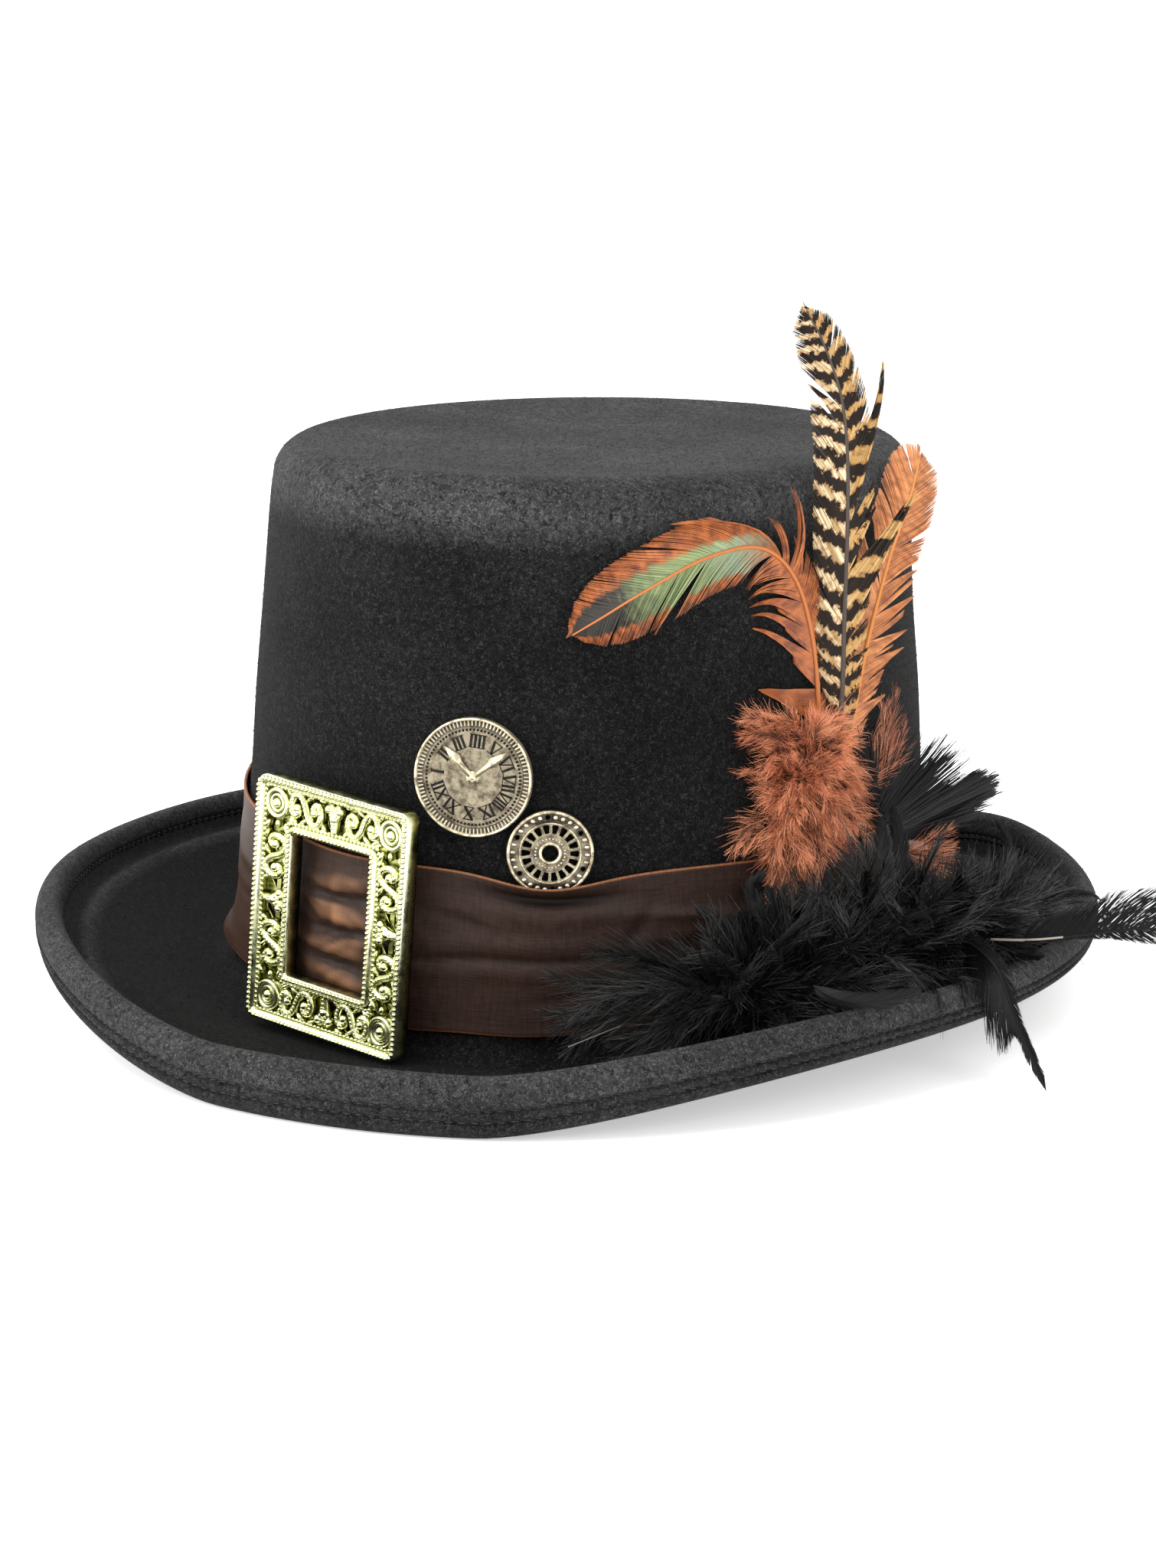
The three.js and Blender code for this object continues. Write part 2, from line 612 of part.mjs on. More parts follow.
const FAN_TIPS = [
  { turn: 69.5, height: 76, standoff: 12 },
  { turn: 75, height: 78, standoff: 13 },
  { turn: 81, height: 78, standoff: 15 },
  { turn: 88, height: 74, standoff: 18 },
  { turn: 94, height: 69, standoff: 21 },
  { turn: 98, height: 64, standoff: 23 },
  { turn: 101, height: 58.5, standoff: 23 },
  { turn: 94, height: 57, standoff: 16 },
];

// Black plume: a long soft body laid on the brim round the wearer's left side, with locks all along it.
const PLUME_ROWS = [
  { turn: 43, height: 22, standoff: 16, wide: 6, tall: 8 },
  { turn: 51, height: 26, standoff: 19, wide: 11, tall: 12 },
  { turn: 60, height: 29, standoff: 20, wide: 13, tall: 13 },
  { turn: 70, height: 30, standoff: 20, wide: 13, tall: 12 },
  { turn: 82, height: 29, standoff: 20, wide: 12, tall: 11 },
  { turn: 96, height: 27, standoff: 20, wide: 11, tall: 10 },
  { turn: 112, height: 26, standoff: 19, wide: 7, tall: 8 },
];
const PLUME_STEPS = 10;
const PLUME_SIDES = 8;
const PLUME_ENDS = { first: 0.06, last: 0.94 };
const PLUME_LOCK = { width: 17, thick: 8, bow: 3 };
const PLUME_LOCKS = [
  { turn: 43, standoff: 27, height: 13 },
  { turn: 42, standoff: 50, height: 31 },
  { turn: 47, standoff: 38, height: 24 },
  { turn: 47, standoff: 17, height: 46 },
  { turn: 53, standoff: 58, height: 31 },
  { turn: 56, standoff: 42, height: 25 },
  { turn: 57, standoff: 24, height: 53 },
  { turn: 58, standoff: 46, height: 38 },
  { turn: 60.5, standoff: 50, height: 33 },
  { turn: 66, standoff: 33, height: 49 },
  { turn: 75, standoff: 28, height: 46 },
  { turn: 87, standoff: 42, height: 30 },
  { turn: 88, standoff: 40, height: 39 },
  { turn: 84, standoff: 26, height: 46 },
  { turn: 98, standoff: 42, height: 33 },
  { turn: 97, standoff: 26, height: 41 },
  { turn: 109, standoff: 36, height: 29 },
  { turn: 119, standoff: 30, height: 27 },
  { turn: 120, standoff: 17, height: 27 },
  { turn: 108, standoff: 22, height: 34 },
];

function blackPlume() {
  const path = new THREE.CatmullRomCurve3(PLUME_ROWS.map(onCrown));
  const sections = Array.from({ length: PLUME_STEPS + 1 }, (_, i) => {
    const share = i / PLUME_STEPS;
    const middle = path.getPoint(share);
    const out = crownNormal(along(PLUME_ROWS, "turn", share));
    const wide = along(PLUME_ROWS, "wide", share);
    const tall = along(PLUME_ROWS, "tall", share);
    return Array.from({ length: PLUME_SIDES }, (_s, k) => {
      const angle = (k / PLUME_SIDES) * TAU;
      const point = middle.clone().addScaledVector(out, wide * Math.cos(angle));
      point.z += tall * Math.sin(angle);
      return point;
    });
  });
  const first = PLUME_ROWS[0].turn;
  const last = PLUME_ROWS[PLUME_ROWS.length - 1].turn;
  const locks = PLUME_LOCKS.map((tip, k) => {
    const level = (tip.turn - first) / (last - first);
    const share = THREE.MathUtils.clamp(level, PLUME_ENDS.first, PLUME_ENDS.last);
    const bow = k % 2 ? PLUME_LOCK.bow : -PLUME_LOCK.bow;
    return lock(path.getPoint(share), onCrown(tip), { ...PLUME_LOCK, bow });
  });
  return fused([loft(sections), ...locks]);
}

// Loose black feathers round the plume: one forward by the band, one over the rim, one out to the side.
const FRONT_HEAD = { turn: 37, height: 24, standoff: 20, wide: 3.5, tall: 5, deep: 4 };
const FRONT_TIPS = [
  { turn: 17.5, height: 24, standoff: 17 },
  { turn: 19, height: 33, standoff: 19 },
  { turn: 25, height: 36, standoff: 19 },
  { turn: 19.5, height: 17, standoff: 17 },
  { turn: 21, height: 11, standoff: 17 },
  { turn: 24, height: 8, standoff: 18 },
  { turn: 30, height: 9, standoff: 19 },
];
const DROP_ROWS = [
  { turn: 70, height: 30.5, standoff: 36, left: 1.2, right: 1.2 },
  { turn: 69.5, height: 31.5, standoff: 43, left: 2.5, right: 3.5 },
  { turn: 68, height: 27.5, standoff: 51.5, left: 3.0, right: 5.0 },
  { turn: 67, height: 19, standoff: 54.5, left: 3.0, right: 4.5 },
  { turn: 66.2, height: 10, standoff: 60, left: 2.2, right: 2.4 },
  { turn: 65.8, height: 3, standoff: 65.5, left: 0.5, right: 0.5 },
];
const SIDE_ROWS = [
  { turn: 76, height: 29.5, standoff: 35, left: 0.8, right: 0.8 },
  { turn: 77, height: 30, standoff: 45, left: 3.0, right: 2.5 },
  { turn: 79, height: 31, standoff: 57, left: 7.0, right: 4.0 },
  { turn: 80.5, height: 32, standoff: 68, left: 7.5, right: 4.5 },
  { turn: 81.5, height: 32.5, standoff: 80, left: 0.6, right: 0.6 },
];

const CHARCOAL_FELT = { color: 0x2a2a2b, roughness: 0.95, metalness: 0 };
const BROWN_SATIN = { color: 0x4a3024, roughness: 0.45, metalness: 0 };
const PALE_GOLD = { color: 0xc9cf7a, roughness: 0.3, metalness: 0.9 };
const OLD_SILVER = { color: 0xa89f8c, roughness: 0.4, metalness: 0.9 };
const BARRED_TAN = { color: 0xb58b4f, roughness: 0.7, metalness: 0 };
const GREEN_SHEEN = { color: 0x7d8a58, roughness: 0.5, metalness: 0 };
const RUST = { color: 0xa8552a, roughness: 0.7, metalness: 0 };
const SOFT_RUST = { color: 0xb86a3c, roughness: 0.9, metalness: 0 };
const BLACK_PLUME = { color: 0x161616, roughness: 0.8, metalness: 0 };

function seated(place, spin, piece) {
  const seat = seatOnCrown(place);
  piece.rotation.z = rad(spin);
  seat.add(piece);
  return seat;
}

const hat = new THREE.Group();
hat.add(
  mesh("felt_body", feltBody(), { ...CHARCOAL_FELT }),
  mesh("hat_band", hatBand(), { ...BROWN_SATIN }),
  seated(BUCKLE_PLACE, BUCKLE_SPIN, mesh("buckle", buckle(), { ...PALE_GOLD })),
  seated(CLOCK_PLACE, 0, mesh("clock_charm", clockCharm(), { ...OLD_SILVER })),
  seated(WHEEL_PLACE, 0, mesh("wheel_charm", wheelCharm(), { ...OLD_SILVER })),
  mesh("pheasant_feather", feather(PHEASANT_ROWS, PHEASANT_TUFTS), { ...BARRED_TAN }),
  mesh("green_cock_feather", feather(GREEN_ROWS, GREEN_TUFTS), { ...GREEN_SHEEN }),
  mesh("rust_cock_feather", feather(RUST_ROWS, RUST_TUFTS), { ...RUST }),
  mesh("rust_fluff", tuft(FLUFF_HEAD, FLUFF_TIPS, FLUFF_LOCK), { ...SOFT_RUST }),
  mesh("black_fan_feather", tuft(FAN_HEAD, FAN_TIPS, FAN_LOCK), { ...BLACK_PLUME }),
  mesh("black_plume", blackPlume(), { ...BLACK_PLUME }),
  mesh("black_front_feather", tuft(FRONT_HEAD, FRONT_TIPS, FAN_LOCK), { ...BLACK_PLUME }),
  mesh("black_drop_feather", vane(DROP_ROWS), { ...BLACK_PLUME }),
  mesh("black_side_feather", vane(SIDE_ROWS), { ...BLACK_PLUME }),
);

export default hat;
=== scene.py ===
import bpy
import numpy as np
from mathutils import Matrix, Vector


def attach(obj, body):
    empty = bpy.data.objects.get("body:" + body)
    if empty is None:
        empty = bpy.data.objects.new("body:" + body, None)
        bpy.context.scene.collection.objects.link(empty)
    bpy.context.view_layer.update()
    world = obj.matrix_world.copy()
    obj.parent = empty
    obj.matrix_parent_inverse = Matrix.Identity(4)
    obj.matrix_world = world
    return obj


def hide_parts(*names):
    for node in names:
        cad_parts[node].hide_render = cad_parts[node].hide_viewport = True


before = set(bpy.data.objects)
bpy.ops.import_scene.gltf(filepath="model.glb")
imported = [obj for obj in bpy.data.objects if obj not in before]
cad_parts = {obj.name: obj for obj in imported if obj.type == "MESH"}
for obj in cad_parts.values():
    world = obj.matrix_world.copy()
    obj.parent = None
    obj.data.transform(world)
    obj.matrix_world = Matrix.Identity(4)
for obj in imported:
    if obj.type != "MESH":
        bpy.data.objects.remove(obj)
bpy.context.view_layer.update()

# The studio: white paper under a white room, a wide soft box overhead and a smaller one on each side.
# The camera stands to the right of the hat's front and looks slightly down on it, as the photograph does.
MM = 0.001
CAMERA_AT = Vector((0.3647, -1.0020, 0.2646))
CAMERA_AHEAD = Vector((-0.3378, 0.9206, -0.1961)).normalized()
CAMERA_RIGHT = Vector((0.9379, 0.3460, 0.0254))
CAMERA_LENS = 95.45
LIT_POINT = Vector((0, 0, 0.06))
SOFT_BOXES = [
    {"name": "overhead", "at": (-0.35, -0.35, 1.35), "size": 1.3, "watts": 18.0},
    {"name": "front_left", "at": (-1.1, -1.2, 0.75), "size": 0.8, "watts": 18.0},
    {"name": "front_right", "at": (1.2, -0.9, 0.8), "size": 0.7, "watts": 6.0},
]


def colour(code):
    """Linear colour with alpha from an sRGB hex code."""
    parts = [int(code[i : i + 2], 16) / 255 for i in (1, 3, 5)]
    return [c / 12.92 if c <= 0.04045 else ((c + 0.055) / 1.055) ** 2.4 for c in parts] + [1.0]


def input_of(node, key):
    """A node's input by its place, or by its name among those that its settings leave in use."""
    if isinstance(key, int):
        return node.inputs[key]
    return next(socket for socket in node.inputs if socket.enabled and socket.name == key)


def fill_inputs(tree, node, values):
    """Fills a node's inputs with plain values, with sockets or with other nodes' first output in use."""
    for key, value in values.items():
        socket = input_of(node, key)
        if isinstance(value, bpy.types.Node):
            value = next(output for output in value.outputs if output.enabled)
        if isinstance(value, bpy.types.NodeSocket):
            tree.links.new(value, socket)
        else:
            socket.default_value = value


def add_node(tree, kind, inputs=None, stops=None, **settings):
    """Adds a node, sets its fields and its ramp's stops, and fills its inputs."""
    node = tree.nodes.new(kind)
    for field, value in settings.items():
        setattr(node, field, value)
    fill_inputs(tree, node, inputs or {})
    for place, (at, code) in enumerate(stops or []):
        elements = node.color_ramp.elements
        element = elements[place] if place < 2 else elements.new(at)
        element.position = at
        element.color = colour(code)
    return node


def new_material(name):
    """A material with its node tree and its surface shader."""
    material = bpy.data.materials.new(name)
    material.use_nodes = True
    return material, material.node_tree, material.node_tree.nodes["Principled BSDF"]


def place_object(name, data):
    """A new object in the scene, at the origin."""
    thing = bpy.data.objects.new(name, data)
    bpy.context.scene.collection.objects.link(thing)
    return thing


camera = place_object("photo_camera", bpy.data.cameras.new("photo_camera"))
camera.data.lens = CAMERA_LENS
camera.data.clip_end = 20
level_right = (CAMERA_RIGHT - CAMERA_AHEAD * CAMERA_RIGHT.dot(CAMERA_AHEAD)).normalized()
axes = Matrix((level_right, level_right.cross(CAMERA_AHEAD), -CAMERA_AHEAD)).transposed()
camera.matrix_world = Matrix.Translation(CAMERA_AT) @ axes.to_4x4()
bpy.context.scene.camera = camera
bpy.context.scene.view_settings.view_transform = "Standard"

room = bpy.data.worlds.new("white_room")
room.use_nodes = True
fill_inputs(room.node_tree, room.node_tree.nodes["Background"], {"Color": colour("#ffffff"), "Strength": 1.0})
bpy.context.scene.world = room
for box in SOFT_BOXES:
    lamp = bpy.data.lights.new(box["name"], "AREA")
    lamp.energy = box["watts"]
    lamp.size = box["size"]
    light = place_object(box["name"], lamp)
    light.location = box["at"]
    light.rotation_euler = (LIT_POINT - light.location).to_track_quat("-Z", "Y").to_euler()

COVE = {"half_width": 6.0, "front": -4.0, "bend": 2.2, "radius": 1.5, "top": 5.0, "steps": 24}
profile = [(COVE["front"], 0.0)]
for angle in np.radians(np.linspace(0, 90, COVE["steps"])):
    profile.append((COVE["bend"] + COVE["radius"] * np.sin(angle), COVE["radius"] * (1 - np.cos(angle))))
profile.append((COVE["bend"] + COVE["radius"], COVE["top"]))
floor_mesh = bpy.data.meshes.new("floor")
floor_mesh.from_pydata(
    [(x, y, z) for y, z in profile for x in (-COVE["half_width"], COVE["half_width"])],
    [],
    [(2 * i, 2 * i + 1, 2 * i + 3, 2 * i + 2) for i in range(len(profile) - 1)],
    shade_flat=False,
)
floor = place_object("floor", floor_mesh)
# White studio paper, barely uneven and lit from below, which keeps the shadow on it pale.
PAPER_GLOW = 0.45
paper, tree, surface = new_material("white_paper")
grain = add_node(tree, "ShaderNodeTexNoise", {"Scale": 40.0, "Detail": 3.0})
shade = add_node(tree, "ShaderNodeValToRGB", {"Fac": grain}, stops=[(0.3, "#fafaf9"), (0.7, "#fefefd")])
fill_inputs(tree, surface, {"Base Color": shade, "Roughness": 0.9})
fill_inputs(tree, surface, {"Emission Color": colour("#ffffff"), "Emission Strength": PAPER_GLOW})
floor_mesh.materials.append(paper)

# The felt body: crown, dished tip, brim and rolled hem blocked from one charcoal wool-look felt hood.
# The hem is turned up and stitched down, which leaves a narrow welt between two grooves on both its faces.
# Sizes are in millimetres, and a turn starts at the hat's front and goes to the wearer's left.
FELT_WALL = 2.0
CROWN = {"half_width": 88.7, "half_length": 103.0, "narrowing": 10.3, "height": 143.4}
BENDS = {"shoulder": 9.0, "foot": 6.0}
TIP = {"dish": 2.4, "dish_power": 2.6, "first_ring": 0.02}
# Height of each dent, then waves round the crown and their start, and waves down its wall and their start.
DENTS = [(0.3, 5, 0.7, 7, 0.0), (0.2, 13, 2.0, 15, 1.0)]
BRIM = {"half_width": 137.3, "half_length": 164.8, "foot_rise": 5.0, "curl": 1.4, "hem_from": 13.0}
RIM = {"front": 15.1, "side": 9.9}
BRIM_LEFT = {"narrower": 5.2, "rise": 14.4, "fullness": 2.35}
BRIM_RIGHT = {"narrower": 0.0, "rise": 18.4, "fullness": 1.62}
FLAT = {"turn": 14.0, "ease": 0.03}
BACK_CURL = {"from": 179.0, "to": 134.0}
ROUND_STEPS = 256
OUTER_STEPS = {"tip": 22, "bend": 9, "wall": 44, "brim": 18}
INNER_STEPS = {"tip": 8, "bend": 7, "wall": 16, "brim": 10}
HEM_STEPS = 78
# Inset from the widest line, height above the brim, share of the rim's height.
HEM_ROWS = [
    (10.8, 2.1, 0.0), (9.0, 2.5, 0.0), (7.9, 2.4, 0.10), (7.3, 1.6, 0.24), (6.6, 1.2, 0.31),
    (7.2, 0.8, 0.40), (6.6, 0.4, 0.48), (7.1, 0.0, 0.60), (6.7, 0.0, 0.78), (5.7, 0.0, 0.94),
    (3.9, 0.0, 1.0), (1.6, 0.0, 0.92), (0.4, 0.0, 0.75), (0.05, 0.0, 0.60), (0.35, 0.0, 0.53),
    (1.25, 0.0, 0.485), (0.4, 0.0, 0.44), (0.15, 0.0, 0.395), (0.45, 0.0, 0.35), (1.35, 0.0, 0.305),
    (0.75, 0.0, 0.26), (0.8, 0.0, 0.19), (1.6, 0.0, 0.10), (3.4, 0.0, 0.02), (6.6, 0.0, 0.0),
    (10.0, 0.0, 0.0),
]


def smooth_rows(rows, count):
    """A table's rows drawn out to a longer table on a smooth curve through them."""
    rows = np.asarray(rows, float)
    padded = np.vstack([2 * rows[0] - rows[1], rows, 2 * rows[-1] - rows[-2]])
    at = np.linspace(0, len(rows) - 1, count)
    k = np.minimum(at.astype(int), len(rows) - 2)
    f = (at - k)[:, None]
    a, b, c, d = padded[k], padded[k + 1], padded[k + 2], padded[k + 3]
    return 0.5 * (2 * b + (c - a) * f + (2 * a - 5 * b + 4 * c - d) * f**2 + (3 * b - a - 3 * c + d) * f**3)


def crown_halves(height, standoff=0.0):
    """The crown's half width and half length at a height, a distance off its wall."""
    foot = FELT_WALL + BENDS["foot"]
    share = (np.asarray(height, float) - foot) / (CROWN["height"] - BENDS["shoulder"] - foot)
    half_width = CROWN["half_width"] - CROWN["narrowing"] * share + standoff
    return half_width, CROWN["half_length"] + 0 * share + standoff


def lifted(turn):
    """How far the brim has left the floor, from 0 on its flats to 1 at its sides."""
    flat = np.sin(np.radians(FLAT["turn"])) ** 2
    past = np.maximum(np.sin(turn) ** 2 - flat, 0)
    return past**2 / (past + FLAT["ease"]) / ((1 - flat) ** 2 / (1 - flat + FLAT["ease"]))


def brim_side(turn, size):
    """A size of the brim's left or right side."""
    return np.where(np.sin(turn) > 0, BRIM_LEFT[size], BRIM_RIGHT[size])


def rim_rise(turn):
    """How high the rim's foot stands. A fuller side leaves the flat sooner, the back left rises evenly."""
    s = np.clip((BACK_CURL["from"] - np.degrees(turn)) / (BACK_CURL["from"] - BACK_CURL["to"]), 0, 1)
    evenly = s**3 * (10 - 15 * s + 6 * s**2)
    sooner = 1 - (1 - lifted(turn)) ** brim_side(turn, "fullness")
    back_left = (np.sin(turn) > 0) & (np.cos(turn) < 0)
    return brim_side(turn, "rise") * np.where(back_left, evenly, sooner)


def rim_height(turn):
    """How tall the turned-up rim is, least at the sides."""
    return RIM["front"] + (RIM["side"] - RIM["front"]) * np.sin(turn) ** 2


def ring(half_x, half_y, heights, turn, brim_share=0.0):
    """A ring round the crown's axis, which takes on a share of each side's narrowing out on the brim."""
    side_x = half_x - brim_share * brim_side(turn, "narrower")
    return np.stack([side_x * np.sin(turn), -half_y * np.cos(turn), heights + 0 * turn], -1)


def felt_face(depth, turn, steps):
    """Rings of one face of the felt from the tip's middle to the hem, depth below the outer face."""
    top_z = CROWN["height"] - BENDS["shoulder"]
    foot_z = FELT_WALL + BENDS["foot"]
    top = [h - BENDS["shoulder"] for h in crown_halves(top_z)]
    rings = []
    for share in np.linspace(TIP["first_ring"], 1.0, steps["tip"]):
        dish = TIP["dish"] * (1 - share ** TIP["dish_power"])
        rings.append(ring(top[0] * share, top[1] * share, CROWN["height"] - depth - dish, turn))
    for angle in np.radians(np.linspace(90, 0, steps["bend"]))[1:]:
        out, up = (BENDS["shoulder"] - depth) * np.array([np.cos(angle), np.sin(angle)])
        rings.append(ring(top[0] + out, top[1] + out, top_z + up, turn))
    low = BRIM["foot_rise"] * lifted(turn)
    foot_top = foot_z + low
    for share in np.linspace(0, 1, steps["wall"])[1:]:
        x, y = crown_halves(top_z + (foot_z - top_z) * share, -depth)
        dent = sum(h * np.sin(n * turn + a) * np.sin(m * share + b) for h, n, a, m, b in DENTS)
        rings.append(ring(x + dent, y + dent, top_z + (foot_top - top_z) * share, turn))
    foot = crown_halves(foot_z, BENDS["foot"])
    for angle in np.radians(np.linspace(0, 90, steps["bend"]))[1:]:
        back, down = (BENDS["foot"] + depth) * np.array([np.cos(angle), np.sin(angle)])
        rings.append(ring(foot[0] - back, foot[1] - back, foot_top - down, turn))
    for share in np.linspace(0, 1, steps["brim"])[1:]:
        x = foot[0] + (BRIM["half_width"] - BRIM["hem_from"] - foot[0]) * share
        y = foot[1] + (BRIM["half_length"] - BRIM["hem_from"] - foot[1]) * share
        heights = FELT_WALL - depth + low + (rim_rise(turn) - low) * share ** BRIM["curl"]
        rings.append(ring(x, y, heights, turn, share))
    return rings


def hem_ring(inset, lift, share):
    """A ring of the hem, inset from the brim's widest line, at a share of the rim's height."""
    heights = rim_rise(around) + lift + share * rim_height(around)
    return ring(BRIM["half_width"] - inset, BRIM["half_length"] - inset, heights, around, 1.0)


def grid_faces(rows, columns):
    """Four-sided faces between rows of points, each row closed round."""
    r, c = np.meshgrid(np.arange(rows - 1), np.arange(columns), indexing="ij")
    n = (c + 1) % columns
    corners = [r * columns + c, (r + 1) * columns + c, (r + 1) * columns + n, r * columns + n]
    return np.stack(corners, -1).reshape(-1, 4)


def make_piece(name, points, faces, spread=None, tone=None):
    """A smooth mesh piece in metres from points in millimetres, with a UV map and a tone for each point."""
    mesh = bpy.data.meshes.new(name)
    faces = faces.tolist() if isinstance(faces, np.ndarray) else faces
    mesh.from_pydata((np.asarray(points, float) * MM).tolist(), [], faces, shade_flat=False)
    corners = np.empty(len(mesh.loops), np.int32)
    mesh.loops.foreach_get("vertex_index", corners)
    if spread is not None:
        uv = np.asarray(spread, np.float32)[corners]
        mesh.uv_layers.new(name="spread").data.foreach_set("uv", uv.ravel())
    if tone is not None:
        tones = mesh.attributes.new("tone", "FLOAT", "POINT")
        tones.data.foreach_set("value", np.asarray(tone, np.float32))
    return place_object(name, mesh)


def fit_piece(piece, material, slot, *nodes):
    """Gives a piece its material, fixes it to the hat and lets it stand for its CAD nodes."""
    piece.data.materials.clear()
    piece.data.materials.append(material)
    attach(piece, "root")
    if nodes:
        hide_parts(*nodes)


around = np.linspace(0, 2 * np.pi, ROUND_STEPS, endpoint=False)
outer_rings = felt_face(0.0, around, OUTER_STEPS)
hem_rings = [hem_ring(*row) for row in smooth_rows(HEM_ROWS, HEM_STEPS)]
inner_rings = felt_face(FELT_WALL, around, INNER_STEPS)[::-1]
felt_rings = outer_rings + hem_rings + inner_rings
felt_points = np.vstack(felt_rings + [felt_rings[0].mean(0)[None], felt_rings[-1].mean(0)[None]])
last = len(felt_rings) * ROUND_STEPS
felt_faces = grid_faces(len(felt_rings), ROUND_STEPS).tolist()
for i in range(ROUND_STEPS):
    j = (i + 1) % ROUND_STEPS
    felt_faces.append([last, i, j])
    felt_faces.append([last + 1, last - ROUND_STEPS + j, last - ROUND_STEPS + i])

# Painted light and shade on the felt: each part's colour is scaled so the tip, shoulder and hem read lit and the
# wall, the brim's gutter and the underside read shaded.
FELT_PAINTED_SHADE = {
    "tip": 0.78, "shoulder": 1.0, "wall_top": 0.2, "wall": 0.135, "brim": 0.02, "hem": 0.78,
    "rim_low": 0.5, "under": 0.34,
}
tip_end = OUTER_STEPS["tip"]
wall_end = tip_end + OUTER_STEPS["bend"] - 1 + OUTER_STEPS["wall"] - 1
brim_end = len(outer_rings)
OUTER_SHADE_STARTS = [
    (0, "tip"), (tip_end, "tip"), (tip_end + 7, "shoulder"), (tip_end + 10, "wall_top"),
    (tip_end + 20, "wall"), (wall_end, "wall"), (wall_end + 8, "brim"), (brim_end - 3, "brim"),
    (brim_end, "hem"),
]
HEM_SHADE_STARTS = [(0, "brim"), (14, "wall"), (30, "hem"), (44, "hem"), (52, "rim_low"), (HEM_STEPS, "under")]


def painted_shade_by_ring(count, shade_starts):
    """The painted shade on each of a number of rings, from the rings at which the parts begin."""
    starts = [row for row, _ in shade_starts]
    return np.interp(np.arange(count), starts, [FELT_PAINTED_SHADE[part] for _, part in shade_starts])


outer_painted_shade = painted_shade_by_ring(len(outer_rings), OUTER_SHADE_STARTS)
hem_painted_shade = painted_shade_by_ring(len(hem_rings), HEM_SHADE_STARTS)
ring_painted_shade = np.concatenate([outer_painted_shade, hem_painted_shade, np.full(len(inner_rings), FELT_PAINTED_SHADE["under"])])
felt_shade_per_point = np.append(np.repeat(ring_painted_shade, ROUND_STEPS), [FELT_PAINTED_SHADE["tip"], FELT_PAINTED_SHADE["under"]])
felt_body = make_piece("felt_body_blocked", felt_points, felt_faces, tone=felt_shade_per_point)

# Charcoal wool-look felt: matted fibres about half a millimetre thick with paler ones caught in the nap.
# Here and below, a noise scale of 1000 / s gives lumps of about s mm.
felt, tree, surface = new_material("charcoal_felt")
place = add_node(tree, "ShaderNodeTexCoord").outputs["Object"]
matting = {"Vector": place, "Scale": 1000 / 1.6, "Detail": 6.0, "Roughness": 0.75, "Distortion": 0.8}
mat = add_node(tree, "ShaderNodeTexNoise", matting)
strands = {"Vector": place, "Scale": 1000 / 0.8, "Detail": 3.0, "Distortion": 1.6}
fibre = add_node(tree, "ShaderNodeTexNoise", strands)
cloud = add_node(tree, "ShaderNodeTexNoise", {"Vector": place, "Scale": 1000 / 26, "Detail": 3.0})
ground = add_node(tree, "ShaderNodeValToRGB", {"Fac": mat}, stops=[(0.36, "#141415"), (0.64, "#464647")])
fleck = add_node(tree, "ShaderNodeValToRGB", {"Fac": fibre}, stops=[(0.52, "#000000"), (0.68, "#ffffff")])
worn = add_node(tree, "ShaderNodeValToRGB", {"Fac": cloud}, stops=[(0.35, "#c4c4c4"), (0.7, "#ffffff")])
# The tone attribute scales the colour by the felt's painted light and shade, part by part.
painted_shade_scale = add_node(tree, "ShaderNodeAttribute", attribute_name="tone")
caught = add_node(tree, "ShaderNodeMath", {0: fleck, 1: 0.3}, operation="MULTIPLY")
shown = {"Factor": fleck, "A": ground, "B": colour("#666665")}
shown = add_node(tree, "ShaderNodeMix", shown, data_type="RGBA")
for dimmed in (worn, painted_shade_scale):
    dimming = {"Factor": 1.0, "A": shown, "B": dimmed}
    shown = add_node(tree, "ShaderNodeMix", dimming, data_type="RGBA", blend_type="MULTIPLY")
lint = {"Factor": caught, "A": shown, "B": colour("#3a3a3a")}
linted = add_node(tree, "ShaderNodeMix", lint, data_type="RGBA")
height = add_node(tree, "ShaderNodeMath", {0: mat, 1: fibre}, operation="ADD")
bump = add_node(tree, "ShaderNodeBump", {"Height": height, "Strength": 0.55, "Distance": 0.0005})
fill_inputs(tree, surface, {"Base Color": linted, "Normal": bump, "Roughness": 0.95, "Specular IOR Level": 0.1})
fill_inputs(tree, surface, {"Sheen Weight": 0.03, "Sheen Roughness": 0.5, "Sheen Tint": colour("#b8b8b6")})
fit_piece(felt_body, felt, "felt", "felt_body")

# The nap: loose fibre ends that stand off the felt's outer face and soften its outline.
# They are the same wool-look fibre as the felt, teased up by brushing.
NAP = {"fibres_per_m2": 230000.0, "length": 1.1, "radius": 0.05, "seed": 5, "hem_rows": 66}
NAP_SLANT = {"Min": (0.5, -0.3, 0.0), "Max": (1.35, 0.3, 6.28)}
NAP_SPIN = {"Min": (0, 0, 0), "Max": (0, 0, 6.28), "Seed": 11}
NAP_SIZES = {"Min": 0.5, "Max": 1.4, "Seed": 3}


def new_tree(name, **kinds):
    """A geometry node tree that takes geometry and named inputs, with the sockets that give them."""
    tree = bpy.data.node_groups.new(name, "GeometryNodeTree")
    for label, kind in {"Geometry": "Geometry", **kinds}.items():
        tree.interface.new_socket(label, in_out="INPUT", socket_type="NodeSocket" + kind)
    tree.interface.new_socket("Geometry", in_out="OUTPUT", socket_type="NodeSocketGeometry")
    return tree, add_node(tree, "NodeGroupInput").outputs


